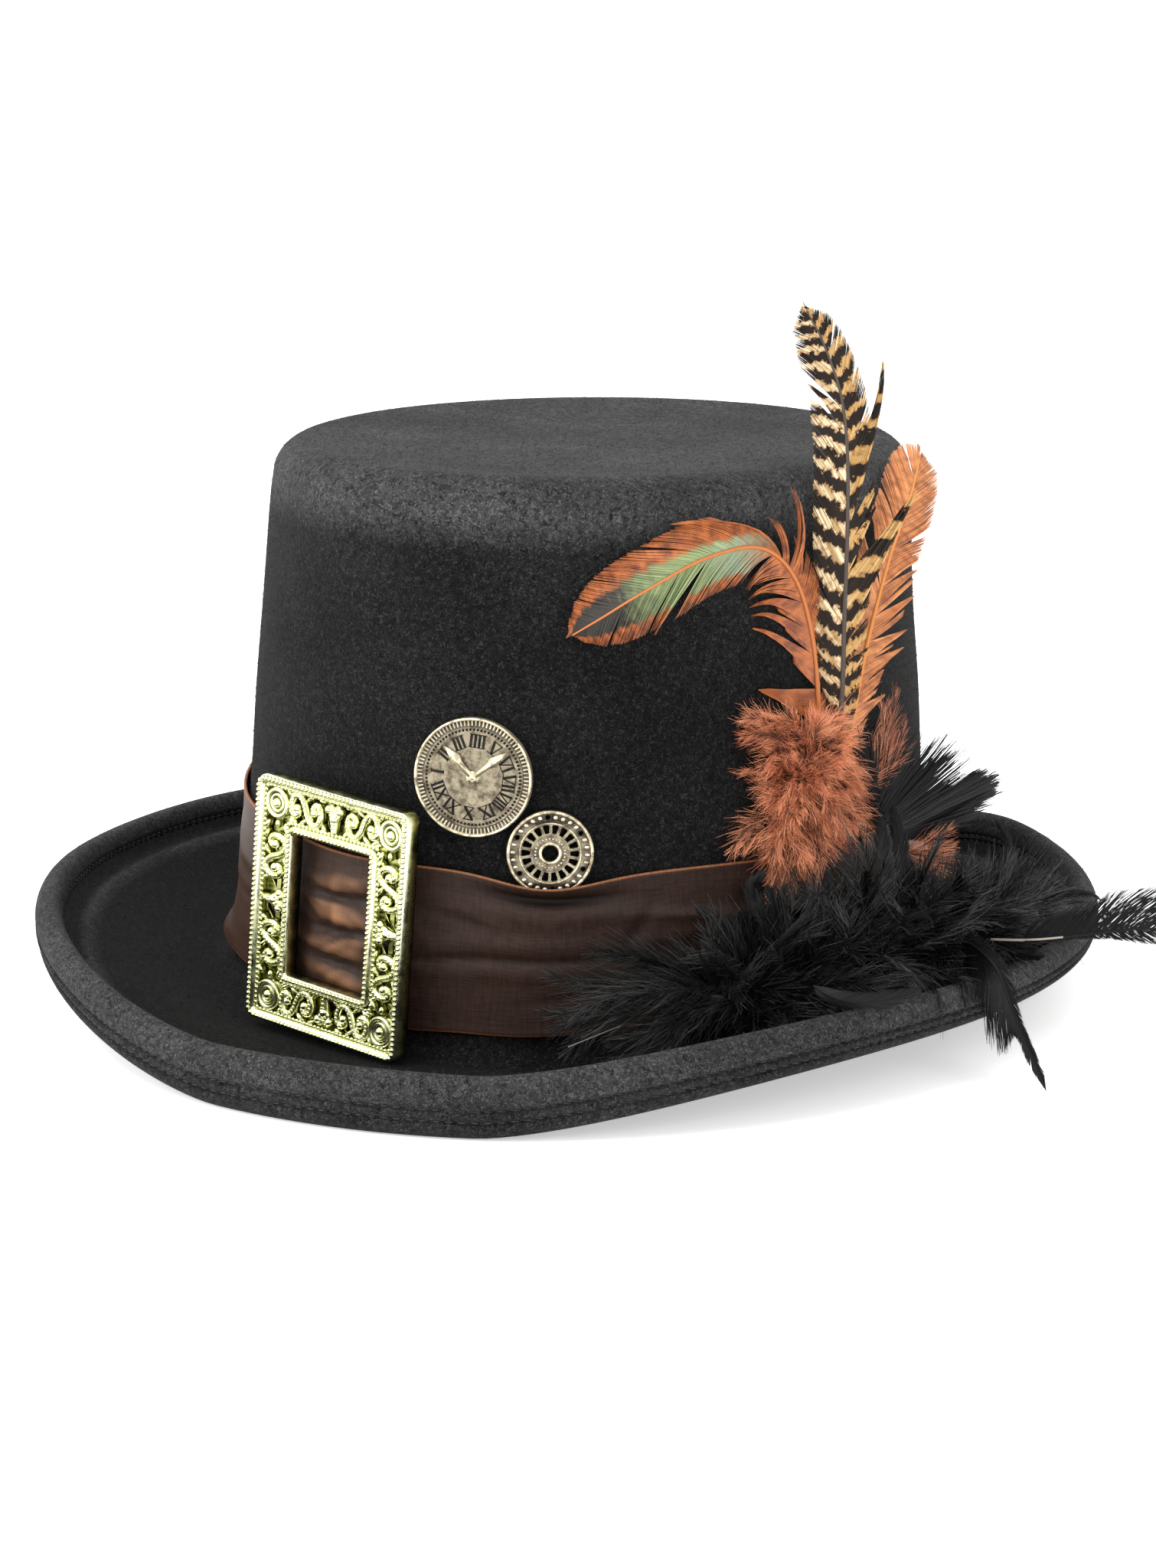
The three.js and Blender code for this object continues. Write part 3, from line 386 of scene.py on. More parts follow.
def nap_tree(material):
    """Geometry nodes that scatter slanting fibres over a surface."""
    tree, given = new_tree("felt_nap", Density="Float", Length="Float", Radius="Float", Seed="Int")
    scatter = {"Mesh": given["Geometry"], "Density": given["Density"], "Seed": given["Seed"]}
    spots = add_node(tree, "GeometryNodeDistributePointsOnFaces", scatter)
    pointed = {"Vertices": 3, "Radius Top": 0.0, "Radius Bottom": given["Radius"], "Depth": given["Length"]}
    fibre = add_node(tree, "GeometryNodeMeshCone", pointed, fill_type="NONE")
    slanting = {**NAP_SLANT, "Seed": given["Seed"]}
    slant = add_node(tree, "FunctionNodeRandomValue", slanting, data_type="FLOAT_VECTOR")
    spin = add_node(tree, "FunctionNodeRandomValue", NAP_SPIN, data_type="FLOAT_VECTOR")
    size = add_node(tree, "FunctionNodeRandomValue", NAP_SIZES, data_type="FLOAT")
    laid = spots.outputs["Rotation"]
    for angles in (spin, slant):
        turn = add_node(tree, "FunctionNodeEulerToRotation", {0: angles})
        laid = add_node(tree, "FunctionNodeRotateRotation", {0: laid, 1: turn}, rotation_space="LOCAL")
    planted = {"Points": spots, "Instance": fibre, "Rotation": laid, "Scale": size}
    fibres = add_node(tree, "GeometryNodeInstanceOnPoints", planted)
    real = add_node(tree, "GeometryNodeRealizeInstances", {"Geometry": fibres})
    dressed = add_node(tree, "GeometryNodeSetMaterial", {"Geometry": real, "Material": material})
    add_node(tree, "NodeGroupOutput", {"Geometry": dressed})
    return tree


def grown(host, tree, values, name):
    """The plain mesh that a node tree makes on a host object, which is then thrown away."""
    modifier = host.modifiers.new("grown", "NODES")
    modifier.node_group = tree
    for item in tree.interface.items_tree:
        if item.item_type == "SOCKET" and item.in_out == "INPUT" and item.name in values:
            modifier[item.identifier] = values[item.name]
    seen = host.evaluated_get(bpy.context.evaluated_depsgraph_get())
    mesh = bpy.data.meshes.new_from_object(seen)
    mesh.name = name
    bpy.data.objects.remove(host)
    return place_object(name, mesh)


brushed = outer_rings + hem_rings[: NAP["hem_rows"]]
brushed_faces = grid_faces(len(brushed), ROUND_STEPS)
host = make_piece("brushed_face", np.vstack(brushed), brushed_faces, tone=felt_shade_per_point[: len(brushed) * ROUND_STEPS])
nap_values = {
    "Density": NAP["fibres_per_m2"],
    "Length": NAP["length"] * MM,
    "Radius": NAP["radius"] * MM,
    "Seed": NAP["seed"],
}
# Loose wool-look fibre: paler than the matted felt under it, a painted highlight for the light each fibre catches.
fibre_grey, tree, surface = new_material("loose_felt_fibre")
place = add_node(tree, "ShaderNodeTexCoord").outputs["Object"]
strand = add_node(tree, "ShaderNodeTexNoise", {"Vector": place, "Scale": 1000 / 1.2, "Detail": 2.0})
shade = add_node(tree, "ShaderNodeValToRGB", {"Fac": strand}, stops=[(0.4, "#1c1c1d"), (0.62, "#535352")])
# The felt's painted shade from the tone attribute dims the fibres too.
painted_shade_scale = add_node(tree, "ShaderNodeAttribute", attribute_name="tone")
dimming = {"Factor": 1.0, "A": shade, "B": painted_shade_scale}
shown = add_node(tree, "ShaderNodeMix", dimming, data_type="RGBA", blend_type="MULTIPLY")
fill_inputs(tree, surface, {"Base Color": shown, "Roughness": 0.9, "Specular IOR Level": 0.2})
fit_piece(grown(host, nap_tree(fibre_grey), nap_values, "felt_nap"), fibre_grey, "felt")

# Hem stitching: two rows of machine stitches in black thread, one in each groove of the hem, on both its faces.
# They hold the turned-up edge to the brim.
STITCH = {"pitch": 3.0, "half_length": 1.15, "half_width": 0.22}
# Each row's inset from the widest line, height above the brim and share of the rim's height.
STITCH_LINES = [(6.75, 1.2, 0.31), (6.75, 0.4, 0.48), (1.1, 0.0, 0.485), (1.2, 0.0, 0.305)]


def row_tree(material):
    """Geometry nodes that set rounded beads along lines, each turned to its line."""
    tree, given = new_tree("row_of_beads", Pitch="Float", Size="Vector", Rounds="Int")
    line = add_node(tree, "GeometryNodeMeshToCurve", {"Mesh": given["Geometry"]})
    pitched = {"Curve": line, "Length": given["Pitch"]}
    spaced = add_node(tree, "GeometryNodeResampleCurve", pitched, mode="LENGTH")
    bead = add_node(tree, "GeometryNodeMeshIcoSphere", {"Radius": 1.0, "Subdivisions": given["Rounds"]})
    ahead = {"Vector": add_node(tree, "GeometryNodeInputTangent")}
    turned = add_node(tree, "FunctionNodeAlignRotationToVector", ahead, axis="X", pivot_axis="Z")
    threaded = {"Points": spaced, "Instance": bead, "Rotation": turned, "Scale": given["Size"]}
    beads = add_node(tree, "GeometryNodeInstanceOnPoints", threaded)
    real = add_node(tree, "GeometryNodeRealizeInstances", {"Geometry": beads})
    smooth = add_node(tree, "GeometryNodeSetShadeSmooth", {"Geometry": real})
    dressed = add_node(tree, "GeometryNodeSetMaterial", {"Geometry": smooth, "Material": material})
    add_node(tree, "NodeGroupOutput", {"Geometry": dressed})
    return tree


def bead_rows(name, lines, pitch, size, material, rounds=2):
    """A piece of beads along lines of points in millimetres. A line is (points, closed)."""
    points, edges = [], []
    for line, closed in lines:
        start = len(points)
        points.extend((np.asarray(line, float) * MM).tolist())
        edges.extend([(start + i, start + i + 1) for i in range(len(line) - 1)])
        if closed:
            edges.append((start + len(line) - 1, start))
    mesh = bpy.data.meshes.new(name + "_lines")
    mesh.from_pydata(points, edges, [])
    values = {"Pitch": pitch * MM, "Size": [s * MM for s in size], "Rounds": rounds}
    return grown(place_object(name + "_lines", mesh), row_tree(material), values, name)


# Black polyester thread with a slight gloss.
thread, tree, surface = new_material("black_thread")
place = add_node(tree, "ShaderNodeTexCoord").outputs["Object"]
ply = add_node(tree, "ShaderNodeTexNoise", {"Vector": place, "Scale": 1000 / 0.5, "Detail": 2.0})
shade = add_node(tree, "ShaderNodeValToRGB", {"Fac": ply}, stops=[(0.35, "#161617"), (0.65, "#343436")])
fill_inputs(tree, surface, {"Base Color": shade, "Roughness": 0.6})
stitch_lines = [(hem_ring(*row), True) for row in STITCH_LINES]
stitch_size = (STITCH["half_length"], STITCH["half_width"], STITCH["half_width"])
stitches = bead_rows("hem_stitches", stitch_lines, STITCH["pitch"], stitch_size, thread, 1)
fit_piece(stitches, thread, "felt")

# The hat band: a brown satin ribbon about 43 mm wide, cut to go once round the crown and sewn at the back.
# It lies in soft lengthwise folds and bulges over the wheel's foot, and copper lines run along both its edges.
BAND = {"wall": 0.6, "bottom": 9.3, "top": 49.5, "side_rise": 6.2, "left_share": 0.3, "gap": 0.4, "slack": 0.35}
DIP = {"turn": 17.5, "spread": 9.5, "depth": 2.7, "bulge": 3.3}
# The ribbon swells out behind the buckle and is crushed in its window.
BUNCH = {"turn": -17.3, "spread": 16.0, "swell": 0.8, "crush_spread": 8.5, "crush": 0.6}
BAND_STEPS = 480
BAND_LEVELS = 44
# Height, count round the crown and start in degrees of the waves in the ribbon's lower and upper edge.
LOW_WAVES = [(0.35, 7, 0), (0.25, 17, 40)]
HIGH_WAVES = [(0.3, 9, 70)]
SELVEDGE = {"height": 0.25, "low": 0.012, "high": 0.988, "spread": 0.016}
# Turn and level of a fold's middle, half its reach in degrees, slope in level per degree, height in mm and
# half its width in level.
FOLDS = [
    (18.0, 0.89, 9.0, -0.0010, -3.0, 0.042), (16.0, 0.76, 14.0, -0.0020, 0.5, 0.090),
    (10.0, 0.47, 17.0, 0.0012, -0.9, 0.022), (12.0, 0.39, 18.0, 0.0005, 0.6, 0.060),
    (12.0, 0.57, 16.0, 0.0015, 0.6, 0.060), (31.0, 0.62, 3.0, 0.0550, -0.8, 0.070),
    (24.0, 0.24, 9.0, 0.0040, -0.5, 0.030), (4.0, 0.70, 6.0, -0.0100, -0.5, 0.030),
    (-17.0, 0.84, 8.0, 0.0050, 1.2, 0.055), (-16.0, 0.75, 9.0, 0.0030, -0.8, 0.025),
    (-17.0, 0.64, 9.0, -0.0060, 1.4, 0.055), (-18.0, 0.54, 8.0, 0.0020, -0.9, 0.025),
    (-16.0, 0.44, 9.0, 0.0060, 1.2, 0.050), (-17.0, 0.34, 8.0, -0.0020, -0.8, 0.025),
    (-17.0, 0.24, 9.0, -0.0040, 1.3, 0.055), (-17.0, 0.12, 8.0, 0.0030, -0.6, 0.025),
    (-45.0, 0.60, 14.0, -0.0040, 0.8, 0.070), (-52.0, 0.40, 13.0, 0.0030, -0.8, 0.028),
    (-60.0, 0.04, 7.0, 0.0000, 2.6, 0.100), (-38.0, 0.25, 10.0, 0.0050, 0.7, 0.060),
    (50.0, 0.66, 15.0, 0.0020, 0.8, 0.080),
]
# More folds round the sides and the back, drawn between these limits.
EXTRA_FOLDS = {"count": 46, "seed": 21, "turn": (35, 325), "level": (0.15, 0.9)}
EXTRA_SIZES = {"reach": (7, 20), "slope": (-0.006, 0.006), "height": (-0.7, 0.9), "width": (0.03, 0.08)}


def bell(x, middle, spread):
    """A smooth rise to 1 in the middle."""
    return np.exp(-(((x - middle) / spread) ** 2))


def wavy(heights, turn, waves):
    """Heights with waves of a height, a count round the crown and a start in degrees."""
    for height, count, start in waves:
        heights = heights + height * np.sin(np.radians(turn * count + start))
    return heights


def band_standoff(turn, level):
    """How far the ribbon's back lies off the crown, and how deep it is creased."""
    crease = 0.0 * turn
    relief = BAND["slack"] + BUNCH["swell"] * bell(turn, BUNCH["turn"], BUNCH["spread"]) * np.sin(np.pi * level)
    relief = relief + DIP["bulge"] * bell(turn, DIP["turn"], DIP["spread"]) * level**3
    rng = np.random.default_rng(EXTRA_FOLDS["seed"])
    extra_levels = rng.uniform(*EXTRA_FOLDS["level"], EXTRA_FOLDS["count"])
    extra = []
    for middle, at in zip(np.linspace(*EXTRA_FOLDS["turn"], EXTRA_FOLDS["count"]), extra_levels):
        extra.append((middle, at, *[rng.uniform(*limits) for limits in EXTRA_SIZES.values()]))
    for middle, at, reach, slope, height, width in FOLDS + extra:
        away = (turn - middle + 180) % 360 - 180
        sway = 0.02 * np.sin(np.radians(away * 9 + middle * 5))
        swell = bell(away, 0, reach) * bell(level, at + slope * away + sway, width)
        relief = relief + height * swell
        crease = crease + np.maximum(-height, 0) * swell
    crushed = np.sin(0.9 * turn + 5.0 * np.sin(9.0 * level)) * np.sin(31.0 * level + 2.0 * np.sin(0.5 * turn))
    crushed = BUNCH["crush"] * crushed * bell(turn, BUNCH["turn"], BUNCH["crush_spread"])
    relief = relief + crushed * np.sin(np.pi * level)
    return BAND["gap"] + np.maximum(relief, 0.0), crease


def on_crown(turn, height, standoff):
    """Points beside the crown from a turn in degrees, a height and a distance off its wall."""
    x, y = crown_halves(height, standoff)
    return np.stack([x * np.sin(np.radians(turn)), -y * np.cos(np.radians(turn)), height + 0 * x], -1)


band_turns = np.linspace(-180, 180, BAND_STEPS, endpoint=False)
turns, levels = np.meshgrid(band_turns, np.linspace(0, 1, BAND_LEVELS), indexing="ij")
side = np.sin(np.radians(turns)) ** 2
low = wavy(BAND["bottom"] + BAND["side_rise"] * side, turns, LOW_WAVES)
high = BAND["top"] + BAND["side_rise"] * side * np.where(turns < 0, 1, BAND["left_share"])
high = high - DIP["depth"] * bell(turns, DIP["turn"], DIP["spread"])
heights = low + (wavy(high, turns, HIGH_WAVES) - low) * levels
back, crease = band_standoff(turns, levels)
selvedge = bell(levels, SELVEDGE["low"], SELVEDGE["spread"]) + bell(levels, SELVEDGE["high"], SELVEDGE["spread"])
front_points = on_crown(turns, heights, back + BAND["wall"] + SELVEDGE["height"] * selvedge)
band_points = np.concatenate([front_points, on_crown(turns, heights, back)[:, ::-1]], 1)
loop = 2 * BAND_LEVELS
band_faces = grid_faces(BAND_STEPS + 1, loop) % (BAND_STEPS * loop)
levels_round = np.concatenate([levels, levels[:, ::-1]], 1)
turns_round = np.concatenate([turns, turns], 1)
band_spread = np.stack([turns_round / 360 + 0.5, levels_round], -1).reshape(-1, 2)
# Painted light: a copper painted highlight on the crests in the buckle's window, and painted shade in the creases.
WINDOW_PAINTED_HIGHLIGHT = {"low": 0.02, "high": 0.5, "relief": 1.7, "from": 0.6}
CREASE_PAINTED_SHADE = {"share": 0.5, "most": 0.9}
crest = np.clip((back - back.min()) / WINDOW_PAINTED_HIGHLIGHT["relief"] - WINDOW_PAINTED_HIGHLIGHT["from"], 0, 1)
painted_window_light = bell(turns, BUNCH["turn"], BUNCH["crush_spread"]) ** 2
painted_window_light = painted_window_light * (WINDOW_PAINTED_HIGHLIGHT["low"] + (WINDOW_PAINTED_HIGHLIGHT["high"] - WINDOW_PAINTED_HIGHLIGHT["low"]) * crest)
painted_window_light = painted_window_light - np.minimum(crease * CREASE_PAINTED_SHADE["share"], CREASE_PAINTED_SHADE["most"])
band_painted_light = np.concatenate([painted_window_light, painted_window_light[:, ::-1]], 1).ravel()
hat_band = make_piece("hat_band_ribbon", band_points.reshape(-1, 3), band_faces[:, ::-1], band_spread, band_painted_light)

# Brown satin: fine crosswise threads, a soft gloss along the folds, and copper lines along both edges.
# Its UV map spans the whole ribbon, so a scale of length / s or width / s gives threads s mm long or wide.
RIBBON_MM = {"long": 620, "wide": 43}
satin, tree, surface = new_material("brown_satin")
uv = add_node(tree, "ShaderNodeUVMap", uv_map="spread").outputs["UV"]
across = add_node(tree, "ShaderNodeSeparateXYZ", {0: uv})
fine = {"Vector": uv, "Scale": (RIBBON_MM["long"] / 0.9, RIBBON_MM["wide"] / 6.0, 1.0)}
fine = add_node(tree, "ShaderNodeMapping", fine)
slub = add_node(tree, "ShaderNodeTexNoise", {"Vector": fine, "Scale": 1.0, "Detail": 4.0, "Roughness": 0.65})
weft = {"Vector": uv, "Scale": (RIBBON_MM["long"] / 7.0, RIBBON_MM["wide"] / 0.5, 1.0)}
weft = add_node(tree, "ShaderNodeMapping", weft)
weave = add_node(tree, "ShaderNodeTexNoise", {"Vector": weft, "Scale": 1.0, "Detail": 3.0, "Roughness": 0.6})
woven = add_node(tree, "ShaderNodeMath", {0: slub, 1: weave}, operation="ADD")
halved = add_node(tree, "ShaderNodeMath", {0: woven, 1: 0.5}, operation="MULTIPLY")
brown = add_node(tree, "ShaderNodeValToRGB", {"Fac": halved}, stops=[(0.3, "#1d1411"), (0.7, "#3c2b25")])
inwards = add_node(tree, "ShaderNodeMath", {0: across.outputs["Y"], 1: 0.5}, operation="SUBTRACT")
from_middle = add_node(tree, "ShaderNodeMath", {0: inwards}, operation="ABSOLUTE")
edge = add_node(tree, "ShaderNodeMapRange", {"Value": from_middle, "From Min": 0.487, "From Max": 0.494})
copper_edge_mask = add_node(tree, "ShaderNodeMath", {0: edge, 1: slub}, operation="MULTIPLY")
painted_light_mask = add_node(tree, "ShaderNodeAttribute", attribute_name="tone").outputs["Fac"]
# Where the tone is negative it is the painted shade of the creases.
sunk = add_node(tree, "ShaderNodeMath", {0: painted_light_mask, 1: -1.0}, operation="MULTIPLY")
shown = brown
# Over the brown come the copper edge lines, the painted copper highlight and the near-black painted crease shade.
for mask, code in ((copper_edge_mask, "#a5683e"), (painted_light_mask, "#c08a63"), (sunk, "#050302")):
    shown = add_node(tree, "ShaderNodeMix", {"Factor": mask, "A": shown, "B": colour(code)}, data_type="RGBA")
bump = add_node(tree, "ShaderNodeBump", {"Height": halved, "Strength": 0.55, "Distance": 0.0002})
fill_inputs(tree, surface, {"Base Color": shown, "Normal": bump, "Roughness": 0.5, "Specular IOR Level": 0.14})
fill_inputs(tree, surface, {"Sheen Weight": 0.08, "Sheen Tint": colour("#c08a62")})
fit_piece(hat_band, satin, "satin", "hat_band")

# The buckle: a moulded frame plated in pale gold, fastened over the band, whose ribbon shows in its window.
# Its edges carry rows of beads, its corners domed rosettes and its rails beaded S-scrolls over a pierced web.
BUCKLE = {"width": 50.8, "height": 61.6, "depth": 5.0, "rail_side": 12.3, "rail_end": 13.0, "rim": 1.9}
BUCKLE_CORNERS = {"outer": 2.6, "window": 0.6}
BUCKLE_PLACE = {"turn": -17.3, "height": 34.9, "standoff": 3.1, "spin": -3.2}
WEB = {"back": 0.4, "front": 1.6, "bevel": 0.15, "lap": 0.4, "gap_pitch": 8.8}
# The gaps' round head in the web, its middle along and across the rail, and the point of their tail.
COMMA = {"radius": 1.6, "middle": (2.0, 2.1), "point": (-2.6, 0.65)}
SCROLL = {"radius": 1.0, "height": 3.5, "flat": 1.15, "sunk": 0.7, "bead_lift": 0.85, "steps": 56}
SCROLL_AT = {"end_rail": 9.6, "side_rail": 11.0}
SCROLL_EYE = {"size": (1.15, 1.15, 1.35), "sunk": 0.5}
PALMETTE_EYE = {"size": (1.5, 1.5, 1.5), "sunk": 0.6}
ROSETTE = {"radius": 3.9, "height": 1.7, "foot": 1.2, "ring_lift": 3.4, "rings": [(3.3, 0.62), (2.0, 0.45)]}
ROSETTE_EYE = {"size": (1.25, 1.25, 1.3), "foot": 3.3}
# Inwards from a corner along and up the frame, half length and slant of each small leaf.
CORNER_LEAVES = [
    (5.4, 3.2, 1.6, 35), (5.4, -3.2, 1.5, -30), (3.2, 6.0, 1.7, 70), (-3.4, 6.0, 1.6, -60), (0.2, 5.2, 1.2, 90),
]
CORNER_LEAF = {"half_width": 0.75, "height": 1.3, "foot": 2.6}
# Leaves in the hollows of an S-scroll, along and across the rail, half length and slant.
SCROLL_LEAVES = [(-4.9, 3.6, 1.5, 20), (-1.2, 3.2, 1.8, -35), (1.6, 1.9, 1.3, 60), (-6.0, -3.4, 1.4, 60)]
SCROLL_LEAF = {"half_width": 0.7, "height": 1.2, "foot": 2.4}
# Half of an S-scroll from its eye to its middle, along and across the rail. Its other half is turned about.
S_HALF = [
    (-2.9, 0.0), (-2.5, 1.0), (-3.5, 1.9), (-4.7, 1.2), (-5.0, -0.8), (-4.0, -2.9), (-2.2, -3.2), (-0.8, -1.8),
    (0.0, 0.0),
]
C_CURL = [(-1.9, 2.0), (-1.2, 2.7), (-0.5, 2.0), (-0.9, 0.8), (-0.4, -0.6), (0.0, -3.4)]


def seat(turn, height, standoff, spin=0.0):
    """The matrix in millimetres of a seat on the crown's wall, with +Z leaving it squarely and +Y upright."""
    half = crown_halves(CROWN["height"] / 2)
    out = Vector((np.sin(np.radians(turn)) / half[0], -np.cos(np.radians(turn)) / half[1], 0)).normalized()
    up = Vector((0, 0, 1))
    axes = Matrix((up.cross(out), up, out)).transposed().to_4x4()
    spot = Matrix.Translation(on_crown(turn, height, standoff).tolist())
    return spot @ axes @ Matrix.Rotation(np.radians(spin), 4, "Z")


def seated(matrix, points):
    """Points moved from a seat's own axes to the hat's."""
    m = np.array(matrix)
    return np.asarray(points, float) @ m[:3, :3].T + m[:3, 3]


def at_height(flat, height):
    """Flat points raised to a height."""
    return np.column_stack([flat, np.full(len(flat), height)])


def joined(parts):
    """One set of points, faces, UV places and tones from several."""
    start, points, faces, spread, tone = 0, [], [], [], []
    for part in parts:
        count = len(part["points"])
        points.append(part["points"])
        if isinstance(part["faces"], np.ndarray):
            faces.extend((part["faces"] + start).tolist())
        else:
            faces.extend([[start + i for i in face] for face in part["faces"]])
        spread.append(part.get("spread", np.zeros((count, 2))))
        tone.append(part.get("tone", np.zeros(count)))
        start += count
    return np.vstack(points), faces, np.vstack(spread), np.concatenate(tone)


def tube(line, radii, sides=8, flat=1.0, up=None):
    """A tapering rod along a line, flattened or deepened across its second axis."""
    line = np.asarray(line, float)
    ahead = np.gradient(line, axis=0)
    ahead /= np.linalg.norm(ahead, axis=1)[:, None] + 1e-9
    up = np.array([0, 0, 1.0]) if up is None else np.asarray(up, float)
    side = np.cross(ahead, np.broadcast_to(up, ahead.shape))
    side /= np.linalg.norm(side, axis=1)[:, None] + 1e-9
    proud = np.cross(side, ahead)
    radii = np.broadcast_to(radii, len(line))[:, None, None]
    angle = np.linspace(0, 2 * np.pi, sides, endpoint=False)[None, :, None]
    points = line[:, None] + radii * (np.cos(angle) * side[:, None] + flat * np.sin(angle) * proud[:, None])
    return {"points": points.reshape(-1, 3), "faces": grid_faces(len(line), sides)}


def dome(middle, size, rows=6, sides=12, angle=0.0):
    """A rounded boss on a flat foot, turned about its own axis."""
    lift = np.radians(np.linspace(88, -20, rows))[:, None]
    about = np.linspace(0, 2 * np.pi, sides, endpoint=False)[None]
    x = size[0] * np.cos(lift) * np.cos(about)
    y = size[1] * np.cos(lift) * np.sin(about)
    z = size[2] * np.sin(lift) + 0 * about
    c, s = np.cos(angle), np.sin(angle)
    points = np.stack([x * c - y * s, x * s + y * c, z], -1).reshape(-1, 3) + np.asarray(middle, float)
    return {"points": points, "faces": grid_faces(rows, sides)}


def framed_outline(half_x, half_y, corner, steps=6):
    """A rectangle's outline with rounded corners, counter-clockwise, and its outward directions."""
    points, out = [], []
    for k, (sx, sy) in enumerate([(1, 1), (-1, 1), (-1, -1), (1, -1)]):
        for angle in np.radians(90 * k + np.linspace(0, 90, steps)):
            way = np.array([np.cos(angle), np.sin(angle)])
            points.append(np.array([sx * (half_x - corner), sy * (half_y - corner)]) + corner * way)
            out.append(way)
    return np.array(points), np.array(out)


def frame_bar(half_x, half_y, corner, section):
    """A closed bar round an outline from its section of (outwards, height) points."""
    points, out = framed_outline(half_x, half_y, corner)
    rows = [at_height(points + out * o, z) for o, z in section]
    grid = np.stack(rows + rows[:1], 0)
    return {"points": grid.reshape(-1, 3), "faces": grid_faces(len(grid), len(points))[:, ::-1]}


def circle(radius, count, x=0.0, y=0.0):
    """A flat circle's points, counter-clockwise."""
    angle = np.linspace(0, 2 * np.pi, count, endpoint=False)
    return np.column_stack([x + radius * np.cos(angle), y + radius * np.sin(angle)])


def cut_plate(outline, holes, back, front, bevel):
    """A flat plate with holes from closed outlines in millimetres."""
    curve = bpy.data.curves.new("cut_plate", "CURVE")
    curve.dimensions = "2D"
    curve.fill_mode = "BOTH"
    curve.extrude = (front - back) / 2 - bevel
    curve.bevel_depth = bevel
    curve.bevel_resolution = 1
    for line in [outline, *holes]:
        spline = curve.splines.new("POLY")
        spline.points.add(len(line) - 1)
        corners = np.column_stack([line, np.zeros(len(line)), np.ones(len(line))])
        spline.points.foreach_set("co", corners.ravel())
        spline.use_cyclic_u = True
    holder = place_object("cut_plate", curve)
    mesh = bpy.data.meshes.new_from_object(holder.evaluated_get(bpy.context.evaluated_depsgraph_get()))
    points = np.array([v.co for v in mesh.vertices]) + [0, 0, (back + front) / 2]
    faces = [list(p.vertices) for p in mesh.polygons]
    bpy.data.objects.remove(holder)
    bpy.data.meshes.remove(mesh)
    return {"points": points, "faces": faces}


half_x, half_y = BUCKLE["width"] / 2, BUCKLE["height"] / 2
window_x, window_y = half_x - BUCKLE["rail_side"], half_y - BUCKLE["rail_end"]
rail_x, rail_y = (half_x + window_x) / 2, (half_y + window_y) / 2
rim, deep = BUCKLE["rim"], BUCKLE["depth"]
outer_section = [
    (-0.5, 0.0), (0.0, 0.5), (0.0, deep - 0.9), (-0.35, deep - 0.3), (-1.0, deep - 0.1), (-rim, deep - 0.5),
    (-rim, 0.2),
]
inner_section = [
    (rim, 0.2), (rim, deep - 0.7), (1.0, deep - 0.4), (0.3, deep - 0.7), (0.0, deep - 1.2), (0.0, 0.3),
]
buckle_parts = [
    frame_bar(half_x, half_y, BUCKLE_CORNERS["outer"], outer_section),
    frame_bar(window_x, window_y, BUCKLE_CORNERS["window"], inner_section),
]
scroll_lines = []


def add_leaf(spot, long, leaf, angle):
    """A small leaf on the buckle."""
    size = (long, leaf["half_width"], leaf["height"])
    buckle_parts.append(dome((*spot, leaf["foot"]), size, 5, 12, angle))


def add_scroll(middle, along, flip, half, whole):
    """A whole S-scroll with its leaves, or one side of a palmette, in a rail of the buckle."""
    along = np.array(along, float)
    across = np.array([-along[1], along[0]])
    shape = np.array(half, float) * [1, flip]
    if whole:
        shape = np.vstack([shape, -shape[-2::-1]])
    flat = np.asarray(middle) + shape[:, :1] * along + shape[:, 1:] * across
    line = at_height(smooth_rows(flat, SCROLL["steps"]), SCROLL["height"] - SCROLL["sunk"])
    buckle_parts.append(tube(line, SCROLL["radius"], 8, SCROLL["flat"]))
    scroll_lines.append((line + [0, 0, SCROLL["radius"] * SCROLL["flat"] * SCROLL["bead_lift"]], False))
    for eye in [shape[0], -shape[0]] if whole else [shape[0]]:
        spot = np.asarray(middle) + eye[0] * along + eye[1] * across
        buckle_parts.append(dome((*spot, SCROLL["height"] - SCROLL_EYE["sunk"]), SCROLL_EYE["size"]))
    for u, v, long, slant in SCROLL_LEAVES if whole else []:
        for way in (-1, 1):
            spot = np.asarray(middle) + way * (u * along + flip * v * across)
            add_leaf(spot, long, SCROLL_LEAF, np.arctan2(along[1], along[0]) + np.radians(slant) * flip)


def add_rosette(corner, inwards):
    """A domed rosette with two rings and an eye on a corner of the buckle, and the leaves about it."""
    size = (ROSETTE["radius"], ROSETTE["radius"], ROSETTE["height"])
    buckle_parts.append(dome((*corner, ROSETTE["foot"]), size, 8, 24))
    for radius, thick in ROSETTE["rings"]:
        turn = np.linspace(0, 2 * np.pi, 30)
        hoop = np.column_stack([corner[0] + radius * np.cos(turn), corner[1] + radius * np.sin(turn)])
        buckle_parts.append(tube(at_height(hoop, ROSETTE["ring_lift"]), thick, 8))
    buckle_parts.append(dome((*corner, ROSETTE_EYE["foot"]), ROSETTE_EYE["size"], 7, 16))
    for dx, dy, long, angle in CORNER_LEAVES:
        spot = corner + np.array(inwards) * (dx, dy)
        add_leaf(spot, long, CORNER_LEAF, np.radians(angle) * inwards[0] * inwards[1])


def comma(middle, along, side):
    """A comma-shaped gap in the web."""
    along = np.array(along, float) * side
    across = np.array([-along[1], along[0]])
    arc = np.radians(np.linspace(-90, 160, 9))
    (u, v), radius = COMMA["middle"], COMMA["radius"]
    shape = np.vstack([np.column_stack([u + radius * np.cos(arc), v + radius * np.sin(arc)]), COMMA["point"]])
    return np.asarray(middle) + shape[:, :1] * along + shape[:, 1:] * across


